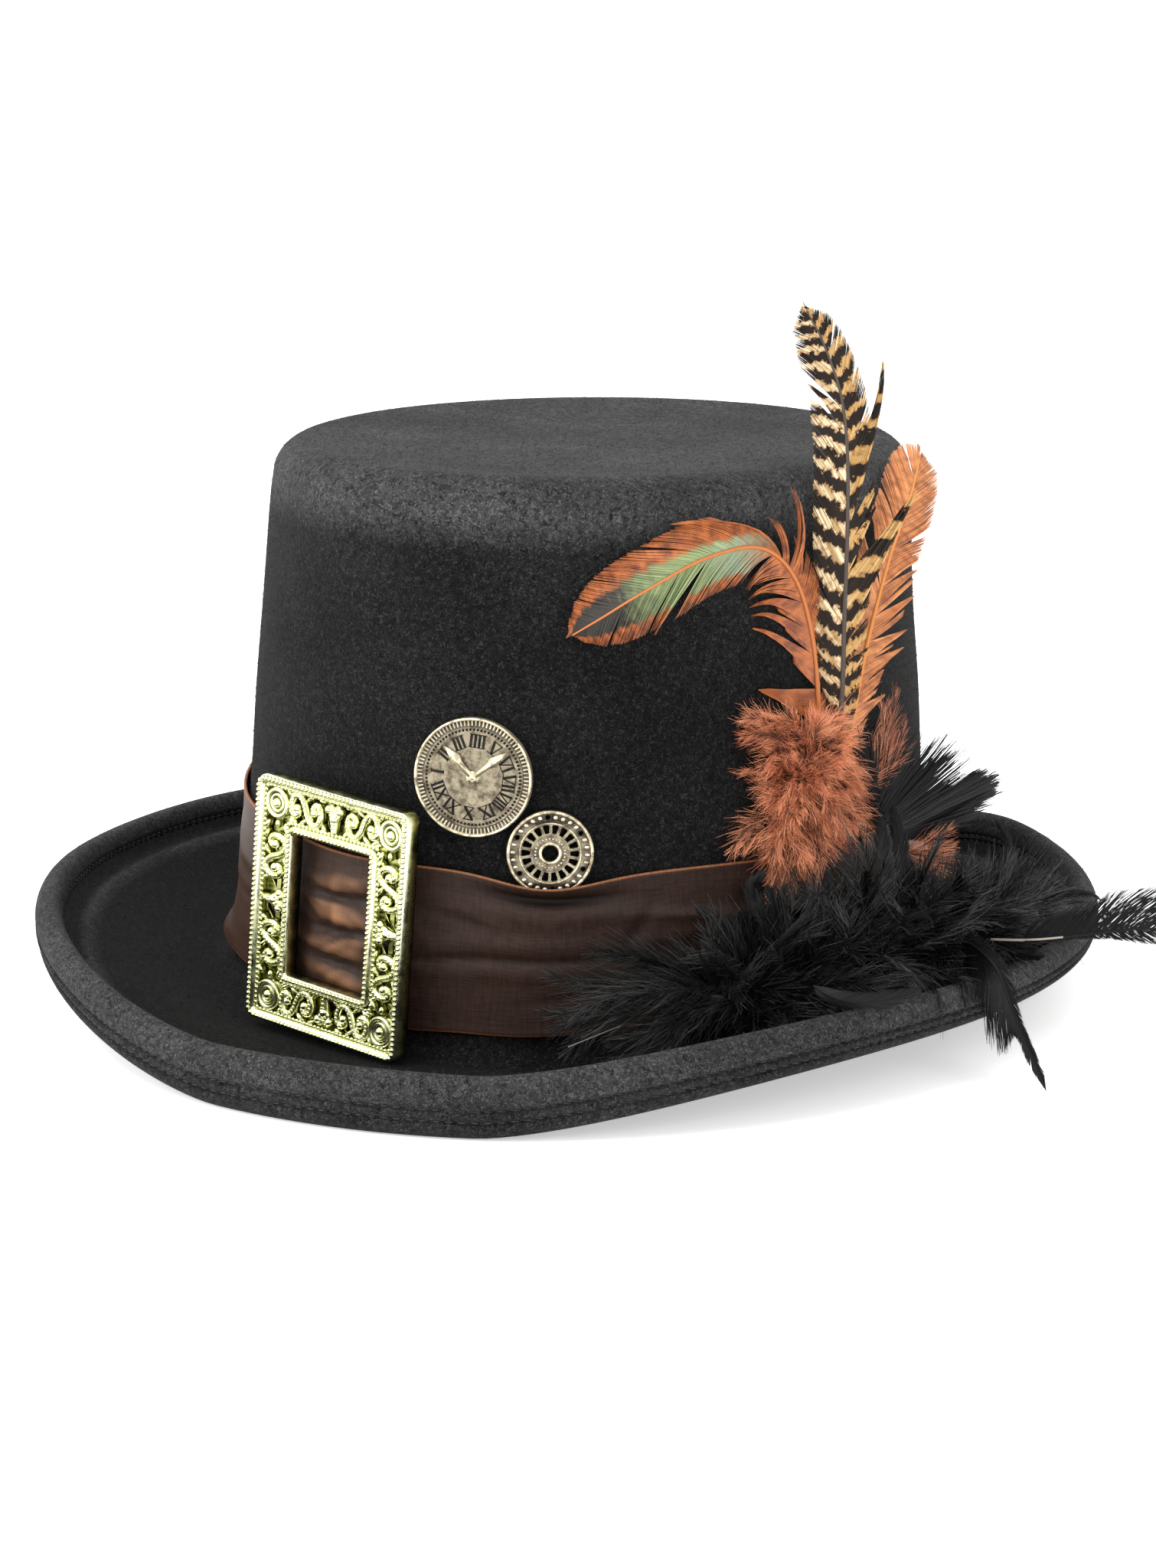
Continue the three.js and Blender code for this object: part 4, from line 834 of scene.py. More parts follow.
for sign in (-1, 1):
    for step in (-1, 1):
        add_scroll((step * SCROLL_AT["end_rail"], sign * rail_y), (1, 0), sign * step, S_HALF, True)
        add_scroll((sign * rail_x, step * SCROLL_AT["side_rail"]), (0, 1), sign * step, S_HALF, True)
    for centre, along in [((0, sign * rail_y), (1, 0)), ((sign * rail_x, 0), (0, 1))]:
        add_scroll(centre, along, sign, C_CURL, False)
        add_scroll(centre, (-along[0], -along[1]), -sign, C_CURL, False)
        buckle_parts.append(dome((*centre, SCROLL["height"] - PALMETTE_EYE["sunk"]), PALMETTE_EYE["size"]))
    for step in (-1, 1):
        add_rosette(np.array([sign * rail_x, step * rail_y]), (-sign, -step))
lap = WEB["lap"]
web_holes = [framed_outline(window_x + lap, window_y + lap, BUCKLE_CORNERS["window"])[0]]
for sign in (-1, 1):
    for cell in np.arange(-1.5, 2) * WEB["gap_pitch"]:
        web_holes += [comma((sign * rail_x, cell), (0, 1), s) for s in (-1, 1)]
    for cell in np.arange(-1, 2) * WEB["gap_pitch"]:
        web_holes += [comma((cell, sign * rail_y), (1, 0), s) for s in (-1, 1)]
web_outline = framed_outline(half_x - lap, half_y - lap, BUCKLE_CORNERS["outer"])[0]
web = cut_plate(web_outline, web_holes, WEB["back"], WEB["front"], WEB["bevel"])
points, faces, _, _ = joined(buckle_parts + [web])
buckle_seat = seat(**BUCKLE_PLACE)
# Each point's share of the frame's depth becomes its tone, which the plating turns into painted shade and
# highlight.
buckle = make_piece("buckle_frame", seated(buckle_seat, points), faces, tone=points[:, 2] / deep)

# Pale gold plating on moulded plastic, coloured by height: olive painted shade in the hollows, pale painted
# highlight on the crests, with a few dull patches.
GOLD_STOPS = [(0.1, "#35351a"), (0.36, "#a0a163"), (0.64, "#d8db9f"), (0.9, "#f6f8d4")]
gold, tree, surface = new_material("pale_gold_plating")
depth = add_node(tree, "ShaderNodeAttribute", attribute_name="tone").outputs["Fac"]
place = add_node(tree, "ShaderNodeTexCoord").outputs["Object"]
patch = add_node(tree, "ShaderNodeTexNoise", {"Vector": place, "Scale": 1000 / 3.0, "Detail": 4.0})
plate = add_node(tree, "ShaderNodeValToRGB", {"Fac": depth}, stops=GOLD_STOPS)
dulling = {"Value": patch, "From Min": 0.3, "From Max": 0.7, "To Min": 0.16, "To Max": 0.36}
dull = add_node(tree, "ShaderNodeMapRange", dulling)
bump = add_node(tree, "ShaderNodeBump", {"Height": patch, "Strength": 0.15, "Distance": 0.0003})
fill_inputs(tree, surface, {"Base Color": plate, "Roughness": dull, "Normal": bump, "Metallic": 1.0})
fit_piece(buckle, gold, "pale_gold", "buckle")

# Beads of the buckle: cast in one with it along both edges and along the scrolls.
# They share its plating, painted brighter because they stand highest.
EDGE_BEAD = {"pitch": 1.26, "radius": 0.6}
SCROLL_BEAD = {"pitch": 0.98, "radius": 0.44}
# Inset from the frame's edge or from the window's, corner radius and depth below the frame's face.
FRAME_BEADS = [(0.75, 2.0, 0.2), (2.3, 1.4, 1.5)]
WINDOW_BEADS = [(0.95, 0.8, 0.5), (2.4, 1.2, 1.7)]
bead_paths = [(half_x - inset, half_y - inset, corner, sunk) for inset, corner, sunk in FRAME_BEADS]
bead_paths += [(window_x + inset, window_y + inset, corner, sunk) for inset, corner, sunk in WINDOW_BEADS]
edge_lines = []
for x, y, corner, sunk in bead_paths:
    edge_lines.append((seated(buckle_seat, at_height(framed_outline(x, y, corner)[0], deep - sunk)), True))
raised_lines = [(seated(buckle_seat, line), closed) for line, closed in scroll_lines]
# Bright plating without the painted shade of the hollows.
bright_gold, tree, surface = new_material("bright_gold_beads")
place = add_node(tree, "ShaderNodeTexCoord").outputs["Object"]
patch = add_node(tree, "ShaderNodeTexNoise", {"Vector": place, "Scale": 1000 / 4.0, "Detail": 3.0})
plate = add_node(tree, "ShaderNodeValToRGB", {"Fac": patch}, stops=[(0.3, "#cdce94"), (0.7, "#eeefc8")])
fill_inputs(tree, surface, {"Base Color": plate, "Metallic": 1.0, "Roughness": 0.2})
edge_beads = bead_rows("buckle_edge_beads", edge_lines, EDGE_BEAD["pitch"], [EDGE_BEAD["radius"]] * 3, bright_gold)
fit_piece(edge_beads, bright_gold, "pale_gold")
bead_size = [SCROLL_BEAD["radius"]] * 3
scroll_beads = bead_rows("buckle_scroll_beads", raised_lines, SCROLL_BEAD["pitch"], bead_size, bright_gold)
fit_piece(scroll_beads, bright_gold, "pale_gold")

# The clock charm: a cast and antiqued metal disc glued to the crown, with raised hands that don't turn.
# Its rim is plain, then come a hatched ring, a ring of dark dots and twelve Roman numerals.
CLOCK = {"radius": 14.4, "face": 1.45, "sides": 128}
CLOCK_PLACE = {"turn": 5.9, "height": 72.5, "standoff": 0.4}
# Share of the radius and height of the disc's section.
CLOCK_PROFILE = [
    (0.0, 1.75), (0.25, 1.7), (0.45, 1.6), (0.72, 1.45), (0.84, 1.4), (0.85, 1.55), (0.865, 1.45), (0.945, 1.5),
    (0.952, 1.9), (0.965, 2.15), (0.982, 2.2), (0.996, 2.05), (1.0, 1.7), (1.0, 0.5), (0.985, 0.1), (0.95, 0.0),
    (0.3, 0.0), (0.0, 0.0),
]
# Turn to the left in degrees, length and half width in mm.
HANDS = [(44.0, 10.2, 1.05), (-51.0, 10.8, 0.95)]
HAND = {"tail": -1.5, "tail_share": 0.5, "back": 1.4, "front": 2.3}
# A hand's right edge in shares of its half width and of its length.
HAND_EDGE = [(0.7, 0.42), (1.3, 0.62), (0.7, 0.76)]
# Place above the middle in shares of the radius, and size, of each boss on the dial.
BOSSES = [(0.0, (1.7, 1.7, 0.75)), (0.0, (0.8, 0.8, 1.05)), (-0.39, (1.25, 1.25, 0.13))]
BOSS_FOOT = 1.65


def lathe(profile, scale, sides):
    """A turned body from (share of the radius, height) rows."""
    rows = np.array(profile, float)
    angle = np.linspace(0, 2 * np.pi, sides, endpoint=False)
    r = np.maximum(rows[:, 0], 0.002)[:, None] * scale
    points = np.stack([r * np.cos(angle), r * np.sin(angle), rows[:, 1:] + 0 * angle], -1)
    return {"points": points.reshape(-1, 3), "faces": grid_faces(len(rows), sides)[:, ::-1]}


def slab(outline, back, front, turn):
    """A flat plate from a simple outline, counter-clockwise, turned to the left by some degrees."""
    n = len(outline)
    c, s = np.cos(np.radians(turn)), np.sin(np.radians(turn))
    points = np.vstack([at_height(np.asarray(outline, float), z) for z in (back, front)])
    faces = [list(range(n, 2 * n)), list(range(n))[::-1]]
    faces += [[i, (i + 1) % n, n + (i + 1) % n, n + i] for i in range(n)]
    return {"points": points @ np.array([[c, s, 0], [-s, c, 0], [0, 0, 1]]), "faces": faces}


clock_seat = seat(**CLOCK_PLACE)
clock_parts = [lathe(CLOCK_PROFILE, CLOCK["radius"], CLOCK["sides"])]
for turn, length, half in HANDS:
    tail = HAND["tail_share"] * half
    outline = [(-tail, HAND["tail"]), (tail, HAND["tail"])]
    outline += [(u * half, v * length) for u, v in HAND_EDGE]
    outline += [(0, length)]
    outline += [(-u * half, v * length) for u, v in HAND_EDGE[::-1]]
    clock_parts.append(slab(outline, HAND["back"], HAND["front"], turn))
for share, size in BOSSES:
    clock_parts.append(dome((0, share * CLOCK["radius"], BOSS_FOOT), size, 7, 20))
points, faces, _, _ = joined(clock_parts)
# Tarnish lies in the hatched ring, the dial is half rubbed and all that stands up from it is bright.
CLOCK_RUBBED = {"dial": 0.39, "ring": 0.1, "ring_from": 0.845, "rim_from": 0.95, "raised": 1.8}
BRIGHT = 0.95
out = np.hypot(points[:, 0], points[:, 1]) / CLOCK["radius"]
raised = (out > CLOCK_RUBBED["rim_from"]) | (points[:, 2] > CLOCK_RUBBED["raised"])
clock_tone = np.where(out < CLOCK_RUBBED["ring_from"], CLOCK_RUBBED["dial"], CLOCK_RUBBED["ring"])
clock_tone = np.where(raised, BRIGHT, clock_tone)
clock = make_piece("clock_disc", seated(clock_seat, points), faces, tone=clock_tone)

# Antiqued cast metal: champagne silver on the raised parts, grey-brown tarnish left in the hollows.
SILVER_STOPS = [(0.05, "#463f35"), (0.35, "#857c6a"), (0.75, "#d0c3a0"), (1.0, "#ece0c0")]
silver, tree, surface = new_material("antiqued_cast_metal")
relief = add_node(tree, "ShaderNodeAttribute", attribute_name="tone").outputs["Fac"]
place = add_node(tree, "ShaderNodeTexCoord").outputs["Object"]
stains = {"Vector": place, "Scale": 1000 / 2.2, "Detail": 6.0, "Roughness": 0.7}
patina = add_node(tree, "ShaderNodeTexNoise", stains)
bare = add_node(tree, "ShaderNodeValToRGB", {"Fac": relief}, stops=SILVER_STOPS)
stain = add_node(tree, "ShaderNodeValToRGB", {"Fac": patina}, stops=[(0.38, "#5c4f42"), (0.58, "#ffffff")])
dimming = {"Factor": 0.8, "A": bare, "B": stain}
tarnished = add_node(tree, "ShaderNodeMix", dimming, data_type="RGBA", blend_type="MULTIPLY")
dulling = {"Value": patina, "From Min": 0.3, "From Max": 0.7, "To Min": 0.5, "To Max": 0.28}
dull = add_node(tree, "ShaderNodeMapRange", dulling)
bump = add_node(tree, "ShaderNodeBump", {"Height": patina, "Strength": 0.25, "Distance": 0.0003})
fill_inputs(tree, surface, {"Base Color": tarnished, "Roughness": dull, "Normal": bump, "Metallic": 0.85})
fit_piece(clock, silver, "old_silver", "clock_charm")

# The dial's marks: numerals and dots sunk in the casting and filled with dark paint.
# The hatching is a ring of fine ribs cast between the dots and the rim, rubbed bright by handling.
NUMERALS = ["I", "II", "III", "IIII", "V", "VI", "VII", "VIII", "IX", "X", "XI", "XII"]
NUMERAL = {"middle": 0.61, "height": 3.1, "thick": 0.62, "thin": 0.3, "foot": 0.2, "widest": 4.4, "space": 0.15}
NUMERAL_PLACE = {"fourth_at": 6.0, "back": 1.3, "proud": 0.17}
LETTER_WIDTHS = {"I": 1.04, "V": 2.47, "X": 2.47}
DOTS = {"share": 0.795, "pitch": 0.9, "radius": 0.31}
HATCHING = {"count": 90, "pitch": 0.3, "size": (0.26, 0.24, 0.24), "ends": [(0.875, 1.5), (0.94, 1.56)]}


def stroke(a, b, width):
    """A straight bar between two points, as a four-cornered outline."""
    a, b = np.array(a, float), np.array(b, float)
    across = np.array([a[1] - b[1], b[0] - a[0]]) / np.linalg.norm(b - a) * width / 2
    return [a - across, b - across, b + across, a + across]


def numeral_strokes(text):
    """The bars of a Roman numeral with its feet, about its own middle."""
    top, thin = NUMERAL["height"] / 2, NUMERAL["thin"]
    total = sum(LETTER_WIDTHS[letter] for letter in text)
    squeeze = min(1.0, NUMERAL["widest"] / total)
    thick = NUMERAL["thick"] * squeeze**0.5
    at = -total * squeeze / 2
    bars = []
    for letter in text:
        wide = LETTER_WIDTHS[letter] * squeeze
        middle = at + wide / 2
        left, right = middle - wide / 2 + NUMERAL["space"], middle + wide / 2 - NUMERAL["space"]
        if letter == "I":
            bars.append(stroke((middle, -top), (middle, top), thick))
        if letter == "V":
            bars.append(stroke((middle, -top), (left, top), thick))
            bars.append(stroke((middle, -top), (right, top), thin))
        if letter == "X":
            bars.append(stroke((right, -top), (left, top), thick))
            bars.append(stroke((left, -top), (right, top), thin))
        at += wide
    return bars + [stroke((-at, z), (at, z), NUMERAL["foot"]) for z in (top, -top)]


numeral_parts = []
for n, text in enumerate(NUMERALS, start=1):
    turn = -(NUMERAL_PLACE["fourth_at"] + 30 * (n - 4))
    for bar in numeral_strokes(text):
        outline = np.array(bar) + [0, NUMERAL["middle"] * CLOCK["radius"]]
        front = CLOCK["face"] + NUMERAL_PLACE["proud"]
        numeral_parts.append(slab(outline, NUMERAL_PLACE["back"], front, turn))
points, faces, _, _ = joined(numeral_parts)
numerals = make_piece("clock_numerals", seated(clock_seat, points), faces)
numerals.data.shade_flat()
# Dark brown paint, rubbed thin in places.
dial_paint, tree, surface = new_material("dark_dial_paint")
place = add_node(tree, "ShaderNodeTexCoord").outputs["Object"]
rub = add_node(tree, "ShaderNodeTexNoise", {"Vector": place, "Scale": 1000 / 1.5, "Detail": 3.0})
shade = add_node(tree, "ShaderNodeValToRGB", {"Fac": rub}, stops=[(0.4, "#0a0807"), (0.75, "#2a231e")])
fill_inputs(tree, surface, {"Base Color": shade, "Roughness": 0.6, "Specular IOR Level": 0.15})
fit_piece(numerals, dial_paint, "old_silver")
dot_line = seated(clock_seat, at_height(circle(DOTS["share"] * CLOCK["radius"], 180), CLOCK["face"]))
dots = bead_rows("clock_dots", [(dot_line, True)], DOTS["pitch"], [DOTS["radius"]] * 3, dial_paint)
fit_piece(dots, dial_paint, "old_silver")
hatch = []
for angle in np.linspace(0, 2 * np.pi, HATCHING["count"], endpoint=False):
    way = np.array([np.cos(angle), np.sin(angle)])
    ends = [np.append(way * share * CLOCK["radius"], lift) for share, lift in HATCHING["ends"]]
    hatch.append((seated(clock_seat, ends), False))
# Bare casting where handling keeps it bright.
bright_silver, tree, surface = new_material("rubbed_bright_metal")
place = add_node(tree, "ShaderNodeTexCoord").outputs["Object"]
patina = add_node(tree, "ShaderNodeTexNoise", {"Vector": place, "Scale": 1000 / 2.0, "Detail": 4.0})
shade = add_node(tree, "ShaderNodeValToRGB", {"Fac": patina}, stops=[(0.3, "#a89d88"), (0.65, "#e6dec8")])
fill_inputs(tree, surface, {"Base Color": shade, "Metallic": 0.9, "Roughness": 0.3})
ribs = bead_rows("clock_hatching", hatch, HATCHING["pitch"], HATCHING["size"], bright_silver, 1)
fit_piece(ribs, bright_silver, "old_silver")

# The wheel charm: a pierced cast wheel glued beside the clock, its foot tucked behind the band.
# Beads and six small holes go round its rim and eighteen windows round its web, and its plain hub is open.
WHEEL = {"radius": 10.4, "plate": 1.2, "bevel": 0.12, "sides": 96, "hub_hole": 0.19}
WHEEL_PLACE = {"turn": 18.1, "height": 54.9, "standoff": 0.4}
# A window's corners in shares of the wheel's radius and of the window's half angle.
WINDOWS = {"count": 18, "open_share": 0.8, "corners": [(0.45, 0.85), (0.64, 1.0), (0.672, 0.6)]}
RIM_HOLES = {"count": 6, "first": 95.0, "share": 0.84, "radius": 0.065}
# Share of the radius, thickness as a share of it and height of each raised ring.
WHEEL_RINGS = [(0.96, 0.042, 1.45), (0.70, 0.026, 1.35), (0.415, 0.02, 1.3), (0.228, 0.042, 1.5)]
RING_BAR = {"sunk": 0.25, "sides": 10, "flat": 0.9}
RIM_BEADS = {"steps": (12, 24, 36, 48), "lift": 1.3, "size": (0.62, 0.62, 0.5), "pitch": 5.0}
HUB_BEADS = {"share": 0.34, "lift": 1.25, "radius": 0.3, "pitch": 0.85}
wheel_seat = seat(**WHEEL_PLACE)
wheel_radius = WHEEL["radius"]
holes = [circle(WHEEL["hub_hole"] * wheel_radius, 40)]
for k in range(WINDOWS["count"]):
    middle = 2 * np.pi * k / WINDOWS["count"]
    half = WINDOWS["open_share"] * np.pi / WINDOWS["count"]
    corners = [(r, middle - half * share) for r, share in WINDOWS["corners"]]
    corners += [(r, 2 * middle - a) for r, a in corners[::-1]]
    holes.append(np.array([(r * wheel_radius * np.cos(a), r * wheel_radius * np.sin(a)) for r, a in corners]))
hole_turns = np.radians(RIM_HOLES["first"] + np.arange(RIM_HOLES["count"]) * 360 / RIM_HOLES["count"])
hole_ring = RIM_HOLES["share"] * wheel_radius
for angle in hole_turns:
    spot = (hole_ring * np.cos(angle), hole_ring * np.sin(angle))
    holes.append(circle(RIM_HOLES["radius"] * wheel_radius, 14, *spot))
wheel_outline = circle(wheel_radius, WHEEL["sides"])
wheel_parts = [cut_plate(wheel_outline, holes, 0.0, WHEEL["plate"], WHEEL["bevel"])]
for share, thick, lift in WHEEL_RINGS:
    line = at_height(circle(1.0, WHEEL["sides"]) * share * wheel_radius, lift - RING_BAR["sunk"])
    closed_line = np.vstack([line, line[:2]])
    wheel_parts.append(tube(closed_line, thick * wheel_radius, RING_BAR["sides"], RING_BAR["flat"]))
points, faces, _, _ = joined(wheel_parts)
# The web between the windows and all raised rings are rubbed bright, and tarnish lies between the beads.
WHEEL_RUBBED = ([0.3, 0.45, 0.67, 0.74], [0.04, 0.44, 0.44, 0.04])
WHEEL_RAISED = 1.25
out = np.hypot(points[:, 0], points[:, 1]) / wheel_radius
wheel_tone = np.where(points[:, 2] > WHEEL_RAISED, BRIGHT, np.interp(out, *WHEEL_RUBBED))
wheel = make_piece("wheel_plate", seated(wheel_seat, points), faces, tone=wheel_tone)
fit_piece(wheel, silver, "old_silver", "wheel_charm")
rim_lines = []
for angle in hole_turns:
    for step in np.radians(RIM_BEADS["steps"]):
        spot = hole_ring * np.array([np.cos(angle + step), np.sin(angle + step)])
        ends = [(*spot, RIM_BEADS["lift"]), (*(spot * 1.02), RIM_BEADS["lift"])]
        rim_lines.append((seated(wheel_seat, ends), False))
rim_beads = bead_rows("wheel_rim_beads", rim_lines, RIM_BEADS["pitch"], RIM_BEADS["size"], bright_silver)
fit_piece(rim_beads, bright_silver, "old_silver")
hub_line = seated(wheel_seat, at_height(circle(HUB_BEADS["share"] * wheel_radius, 180), HUB_BEADS["lift"]))
hub_size = [HUB_BEADS["radius"]] * 3
hub_beads = bead_rows("wheel_hub_beads", [(hub_line, True)], HUB_BEADS["pitch"], hub_size, bright_silver, 1)
fit_piece(hub_beads, bright_silver, "old_silver")

# The pheasant tail feather: a natural barred feather standing up beside the crown, its quill under the tuft.
# Hundreds of barbs leave its shaft on each side and part into locks where the vane has split.
# Turn, height, standoff, left width and right width along the shaft.
PHEASANT = [
    (65.0, 78, 7.0, 3.0, 3.0), (65.4, 92, 8.0, 6.5, 5.0), (65.6, 108, 9.0, 8.0, 6.5),
    (65.8, 128, 10.5, 8.2, 6.6), (65.8, 147, 11.5, 7.8, 6.2), (64.6, 162, 12, 7.0, 5.6),
    (61.4, 175, 12, 5.0, 4.2), (58.4, 183, 12, 1.6, 1.4),
]
PHEASANT_BARBS = {"faces": 24.0, "barbs": 520, "seed": 3, "lean": (46, 24), "cover": 2.6}
# Side, first and last share of the shaft, lean in degrees and stretch of each lock that has parted.
PHEASANT_LOCKS = [
    (1, 0.26, 0.36, 42, 2.5), (1, 0.36, 0.41, 36, 1.05), (1, 0.44, 0.54, 24, 2.1), (1, 0.14, 0.19, 48, 1.15),
    (-1, 0.62, 0.68, 30, 0.95), (-1, 0.03, 0.08, 32, 1.0),
]
# How feathers keep off the hat: gaps to its wall and ground, where the brim starts to curl, and its rim's wall.
CLEARANCE = {"wall": 0.7, "ground": 0.5, "curl_from": 0.67, "curl_over": 0.24}
RIM_WALL = {"inner": 10.5, "inner_slope": 3.0, "outer": -1.0, "outer_slope": 2.0}
VANE_LOCKS = 13
QUILL_SIDES = 7
QUILL_TONE = 2.0


def clear_of_hat(points):
    """Points pushed out of the crown, the brim and the floor."""
    p = np.array(points, float)
    x, y = crown_halves(np.clip(p[..., 2], 0, CROWN["height"]), CLEARANCE["wall"])
    reach = np.hypot(p[..., 0] / x, p[..., 1] / y)
    push = np.where((reach < 1) & (p[..., 2] < CROWN["height"]), 1 / np.maximum(reach, 0.2), 1.0)
    p[..., 0] *= push
    p[..., 1] *= push
    rim_x = BRIM["half_width"] - np.where(p[..., 0] > 0, BRIM_LEFT["narrower"], BRIM_RIGHT["narrower"])
    turn = np.arctan2(p[..., 0] / rim_x, -p[..., 1] / BRIM["half_length"])
    share = np.hypot(p[..., 0] / rim_x, p[..., 1] / BRIM["half_length"])
    inset = (1 - share) * (rim_x + BRIM["half_length"]) / 2
    low = BRIM["foot_rise"] * lifted(turn)
    flat = np.clip((share - CLEARANCE["curl_from"]) / CLEARANCE["curl_over"], 0, 1)
    brim = FELT_WALL + low + (rim_rise(turn) - low) * flat ** BRIM["curl"]
    wall = np.clip((RIM_WALL["inner"] - inset) / RIM_WALL["inner_slope"], 0, 1)
    wall = wall * np.clip((inset - RIM_WALL["outer"]) / RIM_WALL["outer_slope"], 0, 1)
    rim_top = rim_rise(turn) + rim_height(turn)
    ground = np.where(inset > RIM_WALL["outer"], brim + (rim_top - brim) * wall, 0.0) + CLEARANCE["ground"]
    p[..., 2] = np.maximum(p[..., 2], ground)
    return p


def unit(v):
    """Vectors brought to length 1."""
    return v / (np.linalg.norm(v, axis=-1, keepdims=True) + 1e-12)


def ribbons(lines, across, half_widths, lift):
    """Flat strips along many lines at once, each with one edge a little higher."""
    count, steps = lines.shape[:2]
    left = lines - across * half_widths[..., None] - lift
    right = lines + across * half_widths[..., None] + lift
    points = np.stack([left, right], 2).reshape(-1, 3)
    start = (np.arange(count) * steps * 2)[:, None] + (np.arange(steps - 1) * 2)[None]
    faces = np.stack([start, start + 1, start + 3, start + 2], -1).reshape(-1, 4)
    return points, faces


def vane(
    line, facing, widths, barbs, seed, lean=(50, 26), locks=(), loose=1.5, camber=0.1, quill=(0.7, 0.2),
    cover=1.7, steps=8, first=0.0, pale=1.0, ragged=0.6,
):
    """A feather along a line: barbs on both sides in locks, and its quill, pale up to a share of its length.
    Widths are left and right of the line. Barbs lean from one angle at the root to another at the tip."""
    rng = np.random.default_rng(seed)
    count = len(line)
    share = np.linspace(0, 1, count)
    length = np.linalg.norm(np.diff(line, axis=0), axis=1).sum()
    ahead = unit(np.gradient(line, axis=0))
    aside = unit(np.cross(ahead, np.broadcast_to(facing, line.shape)))
    proud = np.cross(aside, ahead)
    parts = []
    q = np.linspace(0, 1, steps)[None]
    for sign, width in ((-1, widths[0]), (1, widths[1])):
        t = np.linspace(first, 0.998, barbs)
        wide = np.maximum(np.interp(t, share, width), 0.3) * rng.uniform(0.99 - ragged / 30, 1.02, barbs)
        angle = lean[0] + (lean[1] - lean[0]) * t + rng.normal(0, ragged, barbs)
        edges = np.sort(rng.uniform(0, 1, VANE_LOCKS - 1))
        lock = np.searchsorted(edges, t)
        angle = (angle + rng.normal(0, loose, VANE_LOCKS)[lock]) * (1 - t**24)
        middles = [t[lock == k].mean() if (lock == k).any() else 0 for k in range(VANE_LOCKS)]
        middle = np.array(middles)[lock]
        gather = np.full(barbs, 0.12)
        for lock_side, start, end, lock_lean, stretch in locks:
            chosen = (t >= start) & (t < end) & (lock_side == sign)
            place = (t - (start + end) / 2) / (end - start) * 2
            angle = np.where(chosen, lock_lean, angle)
            wide = np.where(chosen, wide * stretch * (1 - 0.3 * place**2), wide)
            middle = np.where(chosen, (start + end) / 2, middle)
            gather = np.where(chosen, 0.7, gather)
        angle = np.radians(np.clip(angle, 4, 100))
        s, c = np.sin(angle)[:, None], np.cos(angle)[:, None]
        reach = wide[:, None] / np.maximum(s, 0.45)
        gathered = (middle - t)[:, None] * gather[:, None] * q**1.5
        run = t[:, None] + (reach * (c * q + 0.16 * s * q**2)) / length + gathered
        over = reach * s * q
        past = np.maximum(run - 1, 0)[..., None] * length
        at, along, side, up = [
            np.stack([np.interp(run, share, v[:, i]) for i in range(3)], -1) for v in (line, ahead, aside, proud)
        ]
        lift = wide[:, None] * (rng.normal(0, 0.03, barbs)[:, None] * q - camber * q**2)
        lines = at + along * past + sign * side * over[..., None] + up * lift[..., None]
        across = along * s[..., None] - sign * side * c[..., None]
        half_width = 0.5 * cover * length / barbs * np.maximum(s, 0.4) * (1 - 0.7 * q**4)
        points, faces = ribbons(clear_of_hat(lines), across, half_width, 0.03 * up)
        v = np.repeat(run, 2, 1).ravel()
        u = np.repeat(np.broadcast_to(0.5 + 0.5 * sign * q, run.shape), 2, 1).ravel()
        tone = np.repeat(rng.uniform(0, 1, barbs), 2 * steps)
        faces = faces if sign > 0 else faces[:, ::-1]
        parts.append({"points": points, "faces": faces, "spread": np.stack([u, v], -1), "tone": tone})
    radii = np.linspace(quill[0], quill[1], count)
    rod = tube(clear_of_hat(line + proud * 0.15), radii, QUILL_SIDES, 0.8, proud[count // 2])
    rod["spread"] = np.repeat(np.stack([0 * share + 0.5, share], -1), QUILL_SIDES, 0)
    rod["tone"] = np.repeat(np.where(share < pale, QUILL_TONE, 0.4), QUILL_SIDES)
    return parts + [rod]


def crown_feather(rows, faces, barbs, seed, **shape):
    """A feather beside the crown from rows of turn, height, standoff, left width and right width."""
    table = smooth_rows(rows, 300)
    line = on_crown(table[:, 0], table[:, 1], table[:, 2])
    look = np.radians(np.minimum(table[:, 0], faces))
    facing = np.stack([np.sin(look), -np.cos(look), 0 * look], -1)
    return joined(vane(line, facing, (table[:, 3], table[:, 4]), barbs, seed, **shape))


